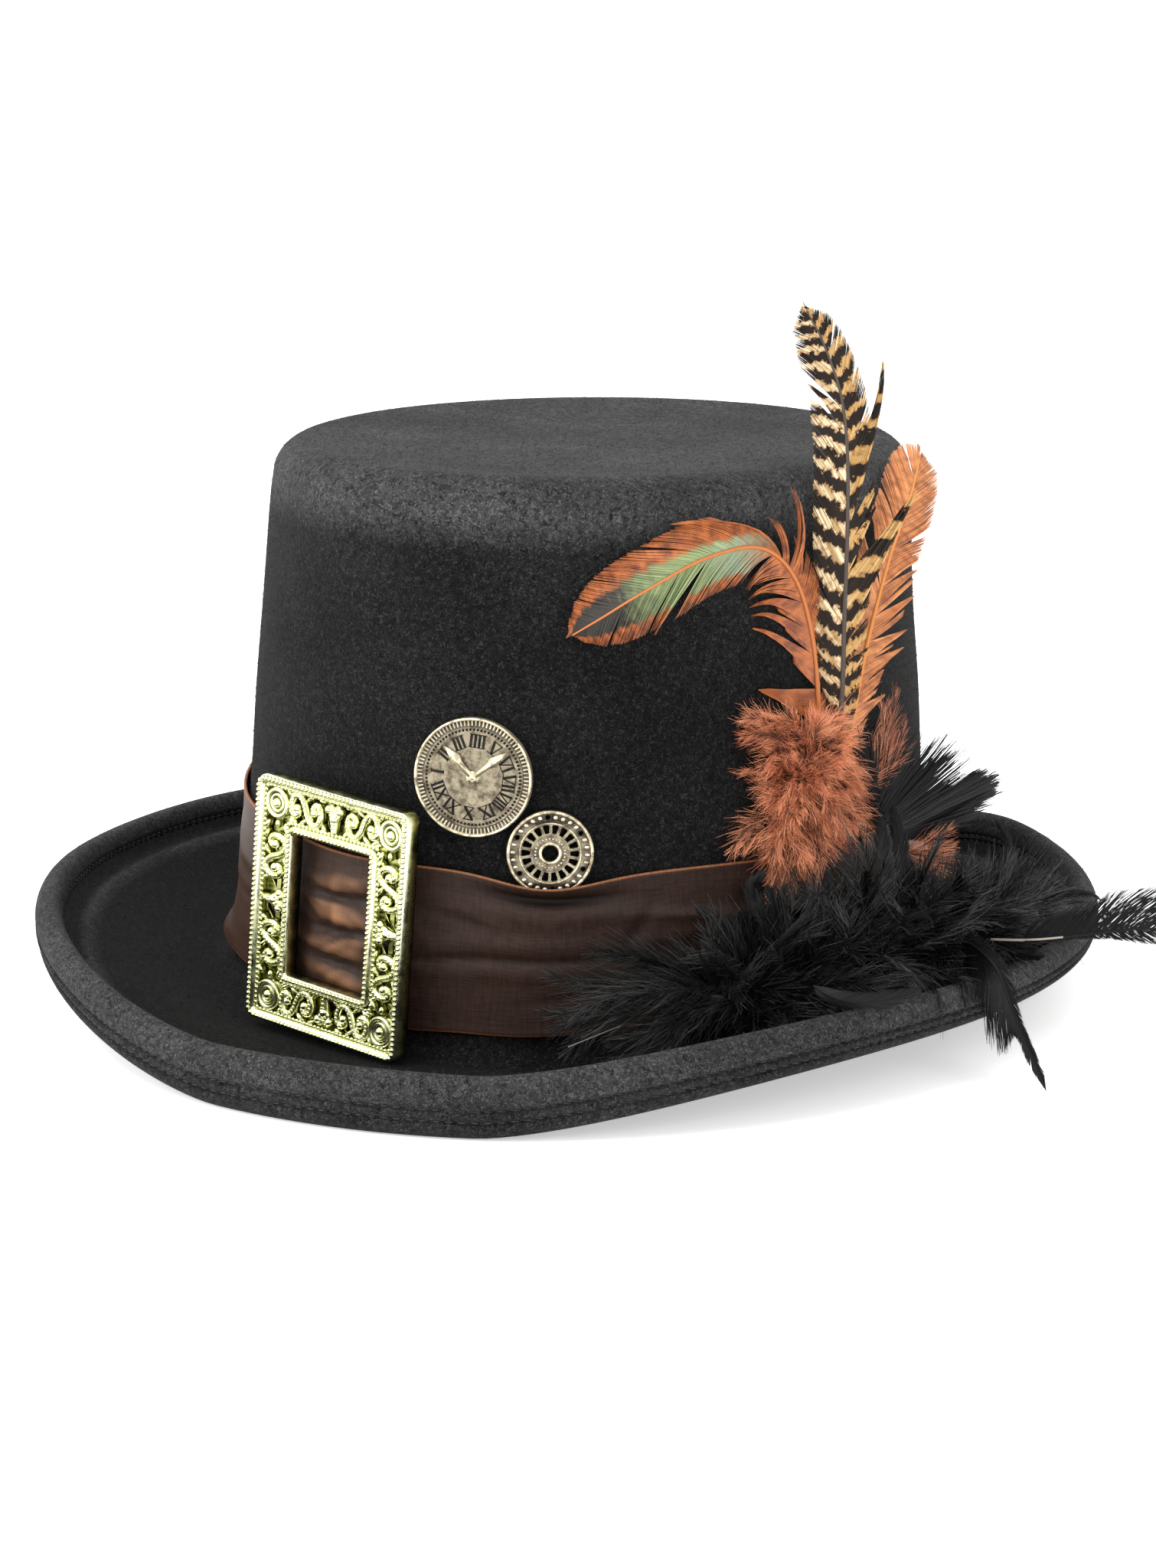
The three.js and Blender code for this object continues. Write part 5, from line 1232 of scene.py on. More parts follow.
def feather_material(name, dark, light, quill, roughness, sheen, sheen_tint, gloss=0.5):
    """A feather's material whose barbs vary from dark to light, with its quill in its own colour.
    The mix node that comes back takes the mask and the colour of the vane's markings."""
    material, tree, surface = new_material(name)
    spread = add_node(tree, "ShaderNodeUVMap", uv_map="spread").outputs["UV"]
    tone = add_node(tree, "ShaderNodeAttribute", attribute_name="tone").outputs["Fac"]
    barb = add_node(tree, "ShaderNodeValToRGB", {"Fac": tone}, stops=[(0.0, dark), (1.0, light)])
    is_quill = add_node(tree, "ShaderNodeMath", {0: tone, 1: 0.75 * QUILL_TONE}, operation="GREATER_THAN")
    marked = {"Factor": 0.0, "A": barb, "B": colour(dark)}
    marked = add_node(tree, "ShaderNodeMix", marked, data_type="RGBA")
    whole = {"Factor": is_quill, "A": marked, "B": colour(quill)}
    whole = add_node(tree, "ShaderNodeMix", whole, data_type="RGBA")
    fine = add_node(tree, "ShaderNodeMapping", {"Vector": spread, "Scale": (60.0, 400.0, 1.0)})
    barbules = add_node(tree, "ShaderNodeTexNoise", {"Vector": fine, "Scale": 1.0, "Detail": 2.0})
    bump = add_node(tree, "ShaderNodeBump", {"Height": barbules, "Strength": 0.3, "Distance": 0.0002})
    fill_inputs(tree, surface, {"Base Color": whole, "Normal": bump, "Roughness": roughness})
    shine = {"Specular IOR Level": gloss, "Sheen Weight": sheen, "Sheen Tint": colour(sheen_tint)}
    fill_inputs(tree, surface, shine)
    return material, tree, marked, spread


def overlaid(tree, marked, mask, code):
    """Slips a colour under a feather's markings where the mask is 1."""
    ground = input_of(marked, "A")
    layers = {"Factor": mask, "A": ground.links[0].from_socket, "B": colour(code)}
    fill_inputs(tree, marked, {"A": add_node(tree, "ShaderNodeMix", layers, data_type="RGBA")})


# Barred pheasant: cream and tan barbs crossed by ragged dark brown bars, about one each 5 mm, and a grey shaft.
# The bars run along the feather with the map's second axis, lean back from the shaft and break into specks.
BARS = 20.0
barred, tree, marked, spread = feather_material(
    "barred_pheasant", "#a07e4c", "#ecdab6", "#4a413b", 0.55, 0.04, "#ffffff", gloss=0.2
)
places = add_node(tree, "ShaderNodeSeparateXYZ", {0: spread}).outputs
stretched = add_node(tree, "ShaderNodeMapping", {"Vector": spread, "Scale": (7.0, 26.0, 1.0)})
wandering = {"Vector": stretched, "Scale": 1.0, "Detail": 3.0, "Roughness": 0.6}
wander = add_node(tree, "ShaderNodeTexNoise", wandering)
lag = add_node(tree, "ShaderNodeMath", {0: wander, 1: 0.05, 2: -0.025}, operation="MULTIPLY_ADD")
run = add_node(tree, "ShaderNodeMath", {0: places["Y"], 1: lag}, operation="ADD")
offset = add_node(tree, "ShaderNodeMath", {0: places["X"], 1: 0.5}, operation="SUBTRACT")
away = add_node(tree, "ShaderNodeMath", {0: offset}, operation="ABSOLUTE")
slant = add_node(tree, "ShaderNodeMath", {0: away, 1: -0.07, 2: run}, operation="MULTIPLY_ADD")
right_later = add_node(tree, "ShaderNodeMath", {0: offset, 1: 0.0}, operation="GREATER_THAN")
turned = add_node(tree, "ShaderNodeMath", {0: right_later, 1: 0.02, 2: slant}, operation="MULTIPLY_ADD")
wave = add_node(tree, "ShaderNodeMath", {0: turned, 1: 2 * np.pi * BARS}, operation="MULTIPLY")
ladder = add_node(tree, "ShaderNodeMath", {0: wave}, operation="SINE")
specks = add_node(tree, "ShaderNodeMapping", {"Vector": spread, "Scale": (16.0, 75.0, 1.0)})
speck = add_node(tree, "ShaderNodeTexNoise", {"Vector": specks, "Scale": 1.0, "Detail": 2.0})
broken = add_node(tree, "ShaderNodeMath", {0: speck, 1: 3.2, 2: -1.55}, operation="MULTIPLY_ADD")
bar = add_node(tree, "ShaderNodeMath", {0: ladder, 1: broken}, operation="ADD")
dark = add_node(tree, "ShaderNodeMapRange", {"Value": bar, "From Min": -0.12, "From Max": 0.12})
halo = add_node(tree, "ShaderNodeMapRange", {"Value": bar, "From Min": -0.75, "From Max": -0.05, "To Max": 0.85})
right_half = {"Value": places["X"], "From Min": 0.5, "From Max": 0.56, "To Max": 0.75}
overlaid(tree, marked, add_node(tree, "ShaderNodeMapRange", right_half), "#b58a48")
overlaid(tree, marked, halo, "#7d5228")
fill_inputs(tree, marked, {"Factor": dark, "B": colour("#1d130b")})
pheasant = make_piece("pheasant_vane", *crown_feather(PHEASANT, locks=PHEASANT_LOCKS, **PHEASANT_BARBS))
fit_piece(pheasant, barred, "barred_feather", "pheasant_feather")

# The green cock feather: a curled cock's tail feather laid forward over the crown, rust at the edges.
# Its vane has one long split above, and below it hangs in separate locks towards the base.
GREEN = [
    (63.4, 80, 3.0, 5.0, 2.0), (62.8, 101, 3.0, 7.0, 4.5), (59.3, 118, 3.2, 8.5, 6.5),
    (52.6, 126.5, 3.4, 9.0, 9.2), (43.0, 125, 3.4, 9.8, 9.8), (33.0, 117.8, 3.4, 8.0, 8.6),
    (26.0, 111.5, 3.2, 4.4, 5.0), (21.6, 107.5, 3.0, 0.8, 0.8),
]
GREEN_BARBS = {"faces": 42.0, "barbs": 560, "seed": 8, "lean": (52, 30), "camber": 0.06}
GREEN_LOCKS = [
    (1, 0.29, 0.32, 64, 2.4), (1, 0.345, 0.43, 26, 1.3), (1, 0.05, 0.12, 24, 1.0), (-1, 0.02, 0.07, 84, 3.2),
    (-1, 0.09, 0.125, 54, 2.5), (-1, 0.135, 0.17, 50, 2.1), (-1, 0.18, 0.225, 50, 1.8),
    (-1, 0.235, 0.29, 52, 1.5), (-1, 0.30, 0.38, 54, 1.2), (-1, 0.56, 0.60, 34, 1.08),
]
# Green-sheened cock feather: rust at the vane's edges and shaft, grey-green over its middle, with a pale painted
# glint towards the base.
# Behind the tip lies a brown-black painted shade.
green, tree, marked, spread = feather_material(
    "green_cock", "#5a6a41", "#9aa870", "#b3652c", 0.42, 0.05, "#bfe0a8"
)
places = add_node(tree, "ShaderNodeSeparateXYZ", {0: spread}).outputs
offset = add_node(tree, "ShaderNodeMath", {0: places["X"], 1: 0.5}, operation="SUBTRACT")
away = add_node(tree, "ShaderNodeMath", {0: offset}, operation="ABSOLUTE")
streaks = add_node(tree, "ShaderNodeMapping", {"Vector": spread, "Scale": (5.0, 40.0, 1.0)})
wander = add_node(tree, "ShaderNodeTexNoise", {"Vector": streaks, "Scale": 1.0, "Detail": 3.0})
ragged = add_node(tree, "ShaderNodeMath", {0: wander, 1: 0.18, 2: away}, operation="MULTIPLY_ADD")
upper = add_node(tree, "ShaderNodeMapRange", {"Value": places["X"], "From Min": 0.5, "From Max": 0.56})
rootward = {"Value": places["Y"], "From Min": 0.9, "From Max": 0.55, "To Max": 0.2}
rootward = add_node(tree, "ShaderNodeMapRange", rootward)
broad = add_node(tree, "ShaderNodeMath", {0: upper, 1: rootward, 2: ragged}, operation="MULTIPLY_ADD")
at_edge = add_node(tree, "ShaderNodeMapRange", {"Value": broad, "From Min": 0.40, "From Max": 0.47})
at_base = add_node(tree, "ShaderNodeMapRange", {"Value": places["Y"], "From Min": 0.50, "From Max": 0.38})
at_tip = add_node(tree, "ShaderNodeMapRange", {"Value": places["Y"], "From Min": 1.0, "From Max": 1.04})
rusty = add_node(tree, "ShaderNodeMath", {0: at_edge, 1: at_base}, operation="MAXIMUM")
rusty_all = add_node(tree, "ShaderNodeMath", {0: rusty, 1: at_tip}, operation="MAXIMUM")
drift = add_node(tree, "ShaderNodeMath", {0: wander, 1: 0.16, 2: places["Y"]}, operation="MULTIPLY_ADD")
# Painted shade: brown-black behind the tip.
painted_tip_shade = add_node(tree, "ShaderNodeMapRange", {"Value": drift, "From Min": 0.76, "From Max": 0.87})
# A pale painted glint over the green towards the base.
painted_glint = add_node(tree, "ShaderNodeMapRange", {"Value": drift, "From Min": 0.68, "From Max": 0.56, "To Max": 0.5})
overlaid(tree, marked, painted_glint, "#9fac9c")
overlaid(tree, marked, painted_tip_shade, "#2a241c")
rusts = add_node(tree, "ShaderNodeValToRGB", {"Fac": wander}, stops=[(0.35, "#743616"), (0.65, "#bd6a32")])
fill_inputs(tree, marked, {"Factor": rusty_all, "B": rusts})
green_cock = make_piece("green_cock_vane", *crown_feather(GREEN, locks=GREEN_LOCKS, **GREEN_BARBS))
fit_piece(green_cock, green, "green_feather", "green_cock_feather")

# The rust cock feather: a broad dyed feather behind the pheasant's, leaning back round the crown.
# Its right side has parted into a few locks near the base.
RUST = [
    (67.0, 72, 6.0, 2.0, 2.0), (70.0, 90, 6.5, 5.5, 6.0), (73.5, 105, 7.0, 7.5, 8.0),
    (79.0, 121, 7.5, 8.5, 8.0), (85.5, 132, 7.5, 7.5, 7.0), (92.0, 142, 7.0, 2.4, 2.4),
]
RUST_BARBS = {"faces": 34.0, "barbs": 460, "seed": 12, "cover": 2.4, "ragged": 0.3}
RUST_LOCKS = [
    (1, 0.20, 0.27, 46, 1.5), (1, 0.28, 0.34, 50, 1.3), (1, 0.36, 0.42, 44, 1.2), (1, 0.44, 0.50, 40, 1.05),
    (-1, 0.50, 0.56, 30, 1.0), (1, 0.08, 0.14, 50, 1.7),
]
# Rust-dyed feather: orange brown, streaked along the barbs, with an orange shaft.
rust, tree, marked, spread = feather_material(
    "rust_dyed_feather", "#a4592c", "#dc9458", "#c87c34", 0.5, 0.12, "#ffb070"
)
streaks = add_node(tree, "ShaderNodeMapping", {"Vector": spread, "Scale": (4.0, 30.0, 1.0)})
blotch = add_node(tree, "ShaderNodeTexNoise", {"Vector": streaks, "Scale": 1.0, "Detail": 3.0})
dim = add_node(tree, "ShaderNodeMapRange", {"Value": blotch, "From Min": 0.4, "From Max": 0.7, "To Max": 0.75})
fill_inputs(tree, marked, {"Factor": dim, "B": colour("#6e3517")})
rust_cock = make_piece("rust_cock_vane", *crown_feather(RUST, locks=RUST_LOCKS, **RUST_BARBS))
fit_piece(rust_cock, rust, "rust_feather", "rust_cock_feather")

# The rust tuft: dyed down sewn over the ends of the quills so that they don't show.
# Each small feather has a fine curved shaft with loose wavy barbs all round it.
# Turn and height of each feather's root, then turn, height and standoff of its tip.
FLUFF = [
    (58, 80, 52.5, 85, 6), (59, 80, 56, 86, 8), (60, 80, 60, 85, 9), (61, 80, 64, 84, 8), (57, 76, 51.5, 78, 8),
    (58, 76, 54, 79, 12), (60, 76, 59, 78, 14), (62, 76, 65, 77, 10), (56, 71, 52.5, 71, 8),
    (57, 71, 53, 71, 13), (59, 71, 58, 70, 16), (61, 72, 62, 70, 14), (62, 72, 66, 69, 11),
    (56, 66, 52.5, 63, 8), (57, 66, 54, 63, 13), (58, 66, 56.5, 62, 16), (60, 67, 61, 61, 14),
    (62, 68, 65.5, 61, 11), (55.5, 62, 52.5, 56, 8), (56.5, 62, 54.5, 55, 12), (58, 62, 57, 54, 14),
    (60, 62, 61.5, 54, 11), (62, 64, 65, 56, 10), (55.5, 58, 53.5, 49, 8), (56, 58, 54, 47, 10),
    (57, 58, 57, 48, 10), (54, 56, 52.5, 45, 7), (57, 82, 47.5, 85, 6), (56, 60, 48, 57.5, 6),
    (56, 68, 52, 67, 7), (57, 69, 53, 67, 11), (56, 70, 51, 74, 6), (57, 70, 55, 66, 15), (59, 74, 56, 74, 15),
]
FLUFF_ROOT_STANDOFF = 6.0
FLUFF_COPIES = {"each": 3, "sway": (1.1, 2.0), "seed": 30}
FLUFF_BARBS = {
    "seed": 31, "barbs": 62, "reach": 5.0, "droop": 0.1, "fork": 55.0, "width": 0.15, "waves": 1.7, "flat": 0.75,
    "steps": 6,
}
# More ends show behind the black feathers and beside the barred one: a root and its tips.
SMALL_TUFTS = [
    ((74.0, 49, 13), [(80.6, 53, 20), (79.8, 49.5, 21), (78.8, 47, 21), (77.5, 43.5, 20)]),
    (
        (69.0, 64, 7),
        [
            (71.0, 76, 7), (74.5, 77, 7), (78.0, 75, 8), (80.5, 72, 8), (82.0, 80, 6), (77.0, 84, 6),
            (80.5, 88, 5), (74.0, 86, 7), (84.0, 86, 5), (83.0, 94, 4),
        ],
    ),
]
SMALL_TUFT_SEED = 32
SMALL_BARBS = {"barbs": 60, "reach": 4.5, "fork": 45.0, "width": 0.13, "flat": 0.6, "steps": 6}
DOWN_SHAFT = {"steps": 12, "radii": (0.28, 0.06), "sides": 4, "tone": 0.3}


def down_feathers(
    roots, tips, seed, barbs=34, reach=6.0, droop=0.0, bow=0.12, width=0.16, waves=0.9, fork=65.0, steps=7,
    flat=0.0, skew=1.0,
):
    """Downy feathers from roots to tips: bowed shafts with loose wavy barbs about them.
    A flat share of 1 keeps each one's barbs in a plane, and a skew over 1 leaves few of them light."""
    rng = np.random.default_rng(seed)
    tips = np.asarray(tips, float)
    roots = np.broadcast_to(np.asarray(roots, float), tips.shape)
    count = len(tips)
    span = tips - roots
    length = np.linalg.norm(span, axis=1)
    bowed = unit(np.cross(span, rng.normal(0, 1, (count, 3)))) * (length * bow)[:, None]
    sag = np.array([0, 0, droop]) * length[:, None]

    def spine(s):
        """Points on each shaft at shares of its length."""
        s = s[..., None]
        return roots[:, None] + span[:, None] * s + bowed[:, None] * 1.2 * np.sin(2.8 * s) - sag[:, None] * s**2

    t = np.sort(rng.uniform(0.06, 1.0, (count, 2 * barbs)), 1)
    root = spine(t)
    along = unit(spine(t + 0.02) - spine(t - 0.02))
    blade = unit(rng.normal(0, 1, (count, 1, 3))) * rng.choice([-1.0, 1.0], t.shape)[..., None]
    any_way = unit(flat * blade + (1 - flat) * unit(rng.normal(0, 1, along.shape)))
    side = unit(any_way - along * (any_way * along).sum(-1, keepdims=True))
    second = np.cross(along, side)
    lean = np.radians(fork * (1 - 0.55 * t) * rng.uniform(0.75, 1.2, t.shape))[..., None]
    fullness = 0.45 + 0.9 * np.sin(np.pi * np.clip(t * 0.85 + 0.12, 0, 1))
    size = (reach * fullness * rng.uniform(0.6, 1.2, t.shape) * (1 - 0.35 * t**4))[..., None, None]
    q = np.linspace(0, 1, steps)[None, None, :, None]
    phase = rng.uniform(0, 6.28, t.shape)[..., None, None]
    wave = size * 0.07 * waves * q * np.sin(q * rng.uniform(3.5, 8.0, t.shape)[..., None, None] + phase)
    other = size * 0.07 * waves * q * np.cos(q * rng.uniform(3.0, 7.0, t.shape)[..., None, None] + phase)
    way = (side * np.sin(lean) + along * np.cos(lean))[..., None, :]
    lines = root[..., None, :] + size * (q * way + 0.28 * q**2 * along[..., None, :])
    lines = lines + wave * second[..., None, :] + other * along[..., None, :]
    lines = lines - np.array([0, 0, droop * 0.5]) * size * q**2
    lines = clear_of_hat(lines.reshape(-1, steps, 3))
    across = unit(np.cross(np.gradient(lines, axis=1), rng.normal(0, 1, (len(lines), 1, 3))))
    half = np.broadcast_to(width / 2 * (1 - 0.75 * q[0, 0, :, 0]), lines.shape[:2])
    points, faces = ribbons(lines, across, half, 0.0)
    own, shared = rng.uniform(0, 1, t.shape), rng.uniform(0, 1, (count, 1))
    tone = np.repeat((0.45 * own + 0.55 * shared).ravel() ** skew, 2 * steps)
    far_out = np.repeat(np.broadcast_to(np.linspace(0, 1, steps), (len(lines), steps)), 2, 1).ravel()
    parts = [{"points": points, "faces": faces, "spread": np.stack([far_out, tone], -1), "tone": tone}]
    shaft_steps = DOWN_SHAFT["steps"]
    radii = np.linspace(*DOWN_SHAFT["radii"], shaft_steps)
    for line in spine(np.broadcast_to(np.linspace(0, 1, shaft_steps), (count, shaft_steps))):
        rod = tube(clear_of_hat(line), radii, DOWN_SHAFT["sides"])
        rod["tone"] = np.full(len(rod["points"]), DOWN_SHAFT["tone"])
        parts.append(rod)
    return parts


# Rust-dyed down: redder than the feather, with painted shade darkening each barb towards its root, so the ends read
# softer and paler.
down, tree, marked, spread = feather_material(
    "rust_dyed_down", "#983b18", "#ffb284", "#7a4526", 0.6, 0.12, "#ffa878"
)
places = add_node(tree, "ShaderNodeSeparateXYZ", {0: spread}).outputs
# Painted shade between the barbs, darkest at each barb's root.
painted_root_shade = {"Value": places["X"], "From Min": 0.62, "From Max": 0.05, "To Max": 1.0}
overlaid(tree, marked, add_node(tree, "ShaderNodeMapRange", painted_root_shade), "#3a1206")
rng = np.random.default_rng(FLUFF_COPIES["seed"])
table = np.repeat(np.array(FLUFF, float), FLUFF_COPIES["each"], 0)
table[:, :4] += rng.normal(0, 1, (len(table), 4)) * np.tile(FLUFF_COPIES["sway"], 2)
fluff_roots = on_crown(table[:, 0], table[:, 1], FLUFF_ROOT_STANDOFF)
fluff_tips = on_crown(table[:, 2], table[:, 3], table[:, 4])
fluff_parts = down_feathers(fluff_roots, fluff_tips, **FLUFF_BARBS)
for k, (root, ends) in enumerate(SMALL_TUFTS):
    small_tips = np.array([on_crown(*tip) for tip in ends])
    fluff_parts += down_feathers(on_crown(*root), small_tips, SMALL_TUFT_SEED + k, **SMALL_BARBS)
fluff = make_piece("rust_down_tuft", *joined(fluff_parts))
fit_piece(fluff, down, "rust_feather", "rust_fluff")

# The black fan feather: a short dyed feather behind the rust tuft, its end cut straight and its barbs spread.
# The barbs are stiff and straight, lie close at the root and stand apart towards their ends.
# Turn, height and standoff along the shaft that the barbs leave, and along the line of their ends.
FAN_SHAFT = [(70.5, 63, 9), (72.5, 58, 9.5), (75.0, 54, 10), (77.0, 51, 11)]
FAN_EDGE = [
    (65.5, 80, 10), (72.3, 79, 12), (80.7, 77, 15), (85.7, 73.5, 18), (89.0, 69, 20), (92.3, 64, 22),
    (97.0, 58, 22), (91.0, 55, 20), (78.0, 50.5, 15),
]
FAN_BARBS = {"count": 760, "width": 0.36, "steps": 6, "seed": 41, "root_slack": 0.4, "slack": (0.5, 0.7, 1.0)}
# Close barbs at the front edge, few over the rust feather's root, then more to the split and closest after it.
FAN_CLOSENESS = ([0.0, 0.14, 0.19, 0.34, 1.0], [0.0, 0.06, 0.27, 0.54, 1.0])
FAN_SPLIT = {"at": 0.56, "spread": 0.035, "depth": 0.36}
# Share of its full length that each barb has at least, and the most that any has.
FAN_LENGTHS = ([0.0, 0.2, 0.5, 0.6, 1.0], [0.94, 0.74, 0.74, 0.94, 0.9])
FAN_LONGEST = 1.03
FAN_FACES = np.radians(32.0)
# Black-dyed feather: near black with a grey gloss along the barbs and a pale quill.
black, _, _, _ = feather_material(
    "black_dyed_feather", "#020202", "#161617", "#9a9388", 0.46, 0.01, "#8f8f92", gloss=0.16
)
# Black-dyed down: blacker than the feather but for a few barbs coloured grey as a painted highlight.
black_down, _, _, _ = feather_material(
    "black_dyed_down", "#010101", "#424241", "#6f6a61", 0.42, 0.01, "#777776", gloss=0.3
)
rng = np.random.default_rng(FAN_BARBS["seed"])
count, steps = FAN_BARBS["count"], FAN_BARBS["steps"]
at = np.interp(np.sort(rng.uniform(0, 1, count)), *FAN_CLOSENESS)
row = (at * (count - 1)).astype(int)
fan_roots = smooth_rows(FAN_SHAFT, count)[row] + rng.normal(0, FAN_BARBS["root_slack"], (count, 3))
fan_ends = smooth_rows(FAN_EDGE, count)[row] + rng.normal(0, 1, (count, 3)) * FAN_BARBS["slack"]
fan_roots, fan_ends = on_crown(*fan_roots.T), on_crown(*fan_ends.T)
q = np.linspace(0, 1, steps)
cut = 1 - FAN_SPLIT["depth"] * bell(at, FAN_SPLIT["at"], FAN_SPLIT["spread"])
shortest = np.interp(at, *FAN_LENGTHS)
reach = cut * (shortest + (FAN_LONGEST - shortest) * rng.uniform(0, 1, count))
span = (fan_ends - fan_roots) * reach[:, None]
lines = clear_of_hat(fan_roots[:, None] + span[:, None] * q[None, :, None])
fan_facing = np.array([np.sin(FAN_FACES), -np.cos(FAN_FACES), 0.0])
across = np.broadcast_to(unit(np.cross(span, fan_facing))[:, None], lines.shape)
half = np.broadcast_to(FAN_BARBS["width"] / 2 * (1 - 0.6 * q**2), lines.shape[:2])
points, faces = ribbons(lines, across, half, 0.0)
tone = np.repeat(rng.uniform(0, 1, count), 2 * steps)
far_out = np.tile(np.repeat(q, 2), count)
fan = make_piece("black_fan_vanes", points, faces, np.stack([far_out, tone], -1), tone)
fit_piece(fan, black, "black_feather", "black_fan_feather")

# The black plume: a long string of downy dyed feathers laid on the brim round the wearer's left side.
# Curled feathers with a smooth vane stand out of the down all along it, and some strands reach over the rim.
# Turn, height and standoff along the string.
PLUME = [
    (40, 21, 17), (47, 24, 19), (55, 27, 21), (64, 28, 22), (74, 27, 22), (84, 26, 22), (94, 24, 21), (104, 23, 19),
]
PLUME_SEED = 57
PLUME_STEPS = 200
PLUME_REACH = {"wide": 19.5, "tall": 25.0, "sway": 9.0, "crowding": 1.35, "below": 0.4, "out": 5}
# How far the plume reaches and how high it stands along the string.
PLUME_FAR = ([0, 0.3, 0.6, 1.0], [0.6, 1.0, 0.95, 0.5])
PLUME_TALL = ([0, 0.2, 0.45, 0.65, 1.0], [0.9, 1.3, 1.35, 0.8, 0.5])
PLUME_DOWN = 150
PLUME_BARBS = {
    "seed": 58, "barbs": 52, "reach": 9.5, "droop": 0.12, "waves": 1.2, "width": 0.34, "flat": 0.85, "fork": 56.0,
    "steps": 6, "skew": 2.5,
}
PLUME_VANES = {"count": 48, "long": (13.0, 24.0), "half_width": (1.0, 2.4), "bow": 2.6, "from": 4, "seed": 100}
VANE_BARBS = {"barbs": 34, "lean": (42, 18), "quill": (0.22, 0.06), "steps": 6, "pale": 0.0}
FRAYED = [(side, at, at + 0.1, 26, 1.05) for side in (-1, 1) for at in (0.15, 0.34, 0.55, 0.72)]
# Feathers that show singly: root, middle and tip as turn, height and standoff, and the half width.
SHOWN_VANES = [
    ((66.9, 41, 24), (70.0, 49.5, 18), (71.6, 60, 14), 2.4),
    ((62.6, 40, 24), (66.0, 49, 19), (68.6, 58, 14), 2.6),
    ((47.0, 29.4, 40), (50.0, 26.5, 48), (55.6, 28.1, 52), 2.6),
]
SHOWN_SEED = 180
SHOWN_BARBS = {"barbs": 90, "lean": (30, 12), "quill": (0.3, 0.08), "pale": 0.0}
rng = np.random.default_rng(PLUME_SEED)
spine_rows = smooth_rows(PLUME, PLUME_STEPS)


def curled_feather(root, tip, bow, half_width, facing, barbs, seed, **shape):
    """A feather on a bowed line between two points, widest in its middle."""
    root, tip = np.asarray(root, float), np.asarray(tip, float)
    s = np.linspace(0, 1, 24)[:, None]
    line = clear_of_hat(root + (tip - root) * s + np.asarray(bow) * 4 * s * (1 - s))
    width = half_width * (0.12 + np.sin(np.pi * np.clip(0.1 + 0.86 * s[:, 0], 0, 1)) ** 0.7)
    return vane(line, facing, (width, width), barbs, seed, **shape)


def plume_spots(count):
    """Roots along the plume's string, crowded towards its front, and tips round it."""
    at = np.sort(rng.uniform(0, 1, count) ** PLUME_REACH["crowding"])
    middle = spine_rows[(at * (PLUME_STEPS - 1)).astype(int)]
    swing = rng.uniform(-PLUME_REACH["below"], np.pi + PLUME_REACH["below"], count)
    far = rng.uniform(0.6, 1.1, count) * np.interp(at, *PLUME_FAR)
    up = PLUME_REACH["tall"] * far * np.interp(at, *PLUME_TALL) * np.sin(swing)
    out = middle[:, 2] + PLUME_REACH["out"] + PLUME_REACH["wide"] * far * np.cos(swing)
    sway = rng.uniform(-PLUME_REACH["sway"], PLUME_REACH["sway"], count)
    roots = on_crown(middle[:, 0], middle[:, 1], middle[:, 2])
    return roots, on_crown(middle[:, 0] + sway, middle[:, 1] + up, out)


fluffy = make_piece("black_plume_down", *joined(down_feathers(*plume_spots(PLUME_DOWN), **PLUME_BARBS)))
fit_piece(fluffy, black_down, "black_feather", "black_plume")
roots, tips = plume_spots(PLUME_VANES["count"])
curled = []
for k in range(PLUME_VANES["count"]):
    way = unit(tips[k] - roots[k])
    long = rng.uniform(*PLUME_VANES["long"])
    bow = rng.normal(0, PLUME_VANES["bow"], 3)
    facing = unit(np.array([0.5, -0.8, 0.5]) + rng.normal(0, 0.5, 3))
    half_width = rng.uniform(*PLUME_VANES["half_width"])
    start = roots[k] + way * PLUME_VANES["from"]
    end = roots[k] + way * (PLUME_VANES["from"] + long)
    seed = PLUME_VANES["seed"] + k
    curled += curled_feather(start, end, bow, half_width, facing, seed=seed, locks=FRAYED, **VANE_BARBS)
for k, (root, middle, tip, half_width) in enumerate(SHOWN_VANES):
    root, middle, tip = on_crown(*root), on_crown(*middle), on_crown(*tip)
    bow = middle - (root + tip) / 2
    curled += curled_feather(root, tip, bow, half_width, fan_facing, seed=SHOWN_SEED + k, **SHOWN_BARBS)
fit_piece(make_piece("black_plume_vanes", *joined(curled)), black, "black_feather")

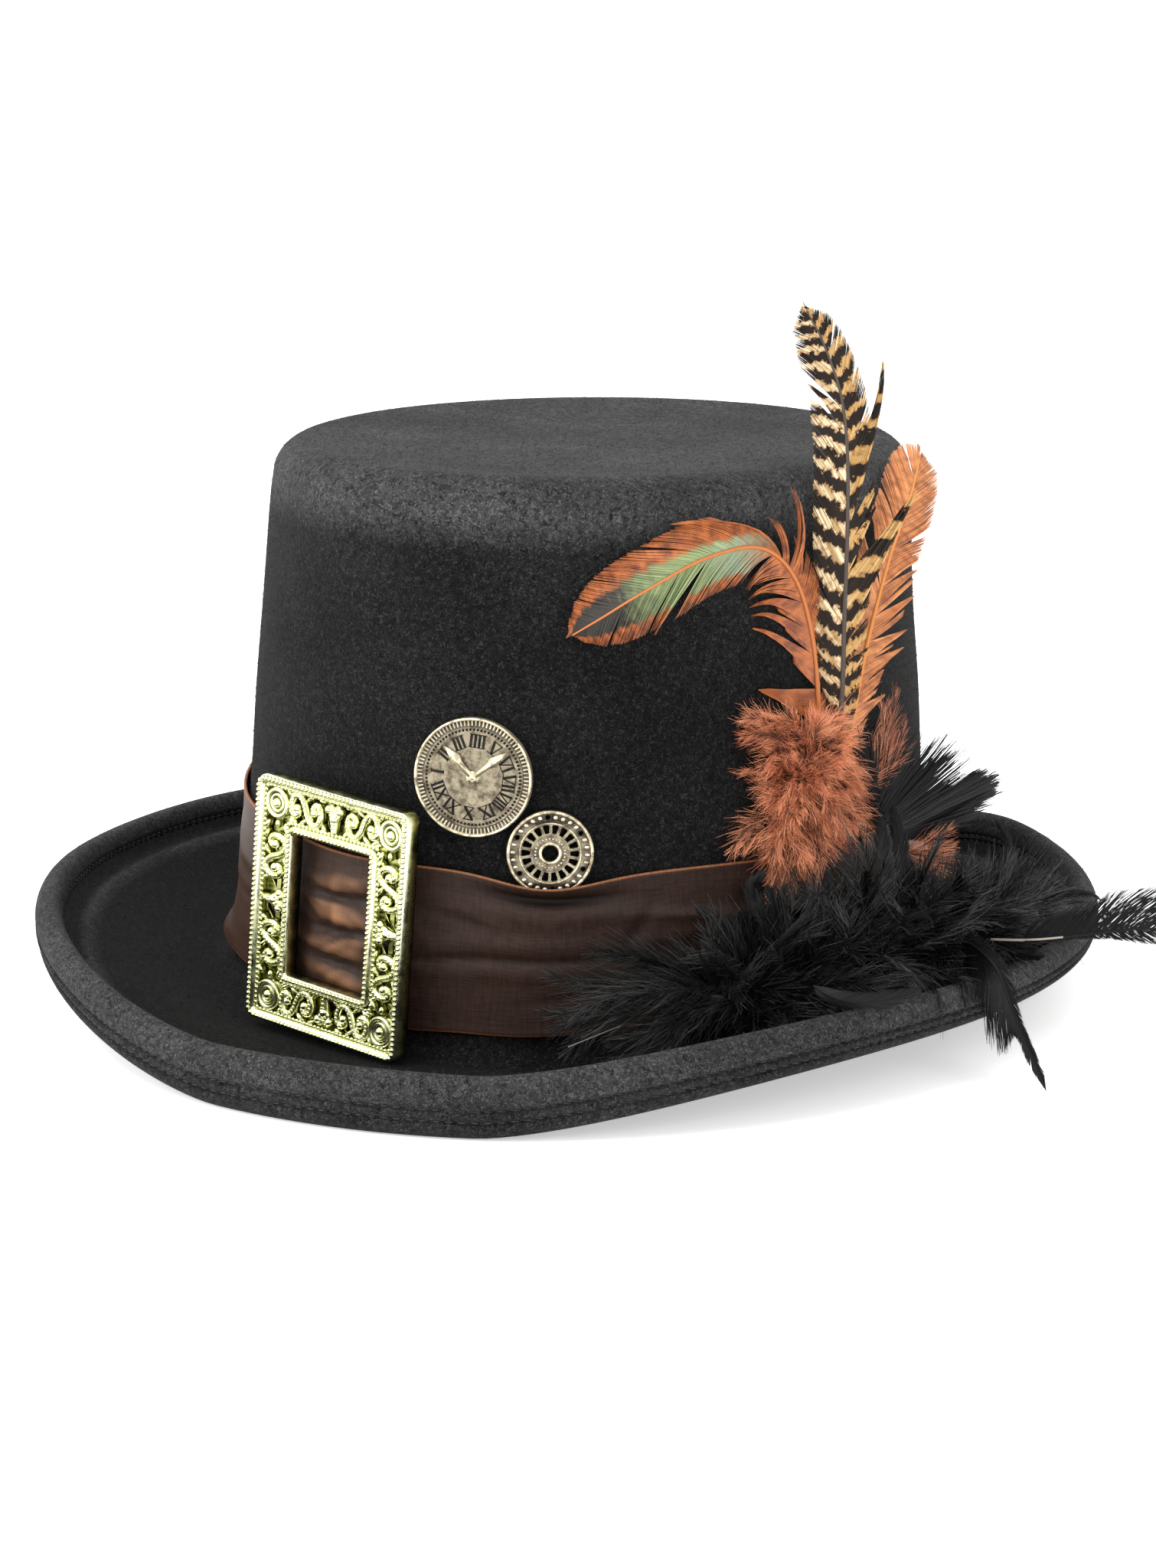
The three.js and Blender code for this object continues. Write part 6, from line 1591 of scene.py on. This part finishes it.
# The black front feather: a loose dyed feather at the plume's front end, lying forward on the brim.
# Its barbs are long and hang apart beside the band.
FRONT_ROOT = (40.0, 26, 21.0)
FRONT_TIPS = [
    (17.5, 24, 17), (19, 32, 19), (24, 36, 19), (19.5, 17, 17), (21, 11, 17), (24, 8, 18), (30, 9, 19),
    (22, 21, 20), (26, 16, 20), (30, 34, 20), (28, 26, 22),
]
FRONT_BARBS = {
    "seed": 63, "barbs": 130, "reach": 8.0, "bow": 0.1, "waves": 0.8, "fork": 50.0, "droop": 0.05, "width": 0.22,
    "flat": 0.5, "skew": 1.6,
}
FRONT_QUILL = {"ends": [(20.8, 12.3, 19), (27.1, 18.2, 22)], "radii": (0.2, 0.1), "steps": 8, "sides": 6}
front_tips = np.array([on_crown(*tip) for tip in FRONT_TIPS])
front_parts = down_feathers(on_crown(*FRONT_ROOT), front_tips, **FRONT_BARBS)
quill_line = on_crown(*np.linspace(*FRONT_QUILL["ends"], FRONT_QUILL["steps"]).T)
quill = tube(quill_line, np.linspace(*FRONT_QUILL["radii"], FRONT_QUILL["steps"]), FRONT_QUILL["sides"])
quill["tone"] = np.full(len(quill["points"]), QUILL_TONE)
front = make_piece("black_front_barbs", *joined(front_parts + [quill]))
fit_piece(front, black_down, "black_feather", "black_front_feather")

# The black drop feather: a narrow pointed dyed feather that hangs over the rim, smooth towards its tip.
# Its root is tucked into the plume, and nothing but the plume holds it.
DROP = [
    (70.2, 31.5, 35, 2.5, 6.0), (70, 31, 39, 3.0, 8.5), (68.2, 27.3, 48.8, 2.6, 8.0),
    (67, 19.5, 55.2, 2.2, 2.4), (66.4, 11.3, 61, 2.3, 1.9), (66, 3.6, 66.5, 0.6, 0.6),
]
DROP_BARBS = {
    "faces": 30.0, "barbs": 420, "seed": 71, "loose": 3.0, "cover": 3.6, "lean": (28, 12), "quill": (0.4, 0.1),
    "pale": 0.0, "ragged": 2.0,
}
drop = make_piece("black_drop_vane", *crown_feather(DROP, **DROP_BARBS))
fit_piece(drop, black, "black_feather", "black_drop_feather")

# The black side feather: a loose dyed feather that points out past the rim from the plume that holds it.
# Its pale quill is bare at the root, and most of its barbs are on the left.
SIDE = [
    (76, 29.5, 35, 1.6, 0.6), (77, 30.5, 45, 6.0, 0.8), (79, 32.5, 57, 10.5, 1.5), (80.5, 34.5, 68, 11.0, 4.5),
    (81.5, 35.5, 80, 6.0, 3.5),
]
SIDE_BARBS = {
    "faces": 20.0, "barbs": 460, "seed": 74, "loose": 2.5, "cover": 2.3, "lean": (60, 30), "quill": (0.36, 0.1),
    "first": 0.2, "pale": 0.4, "ragged": 5.0,
}
side_feather = make_piece("black_side_vane", *crown_feather(SIDE, **SIDE_BARBS))
fit_piece(side_feather, black, "black_feather", "black_side_feather")
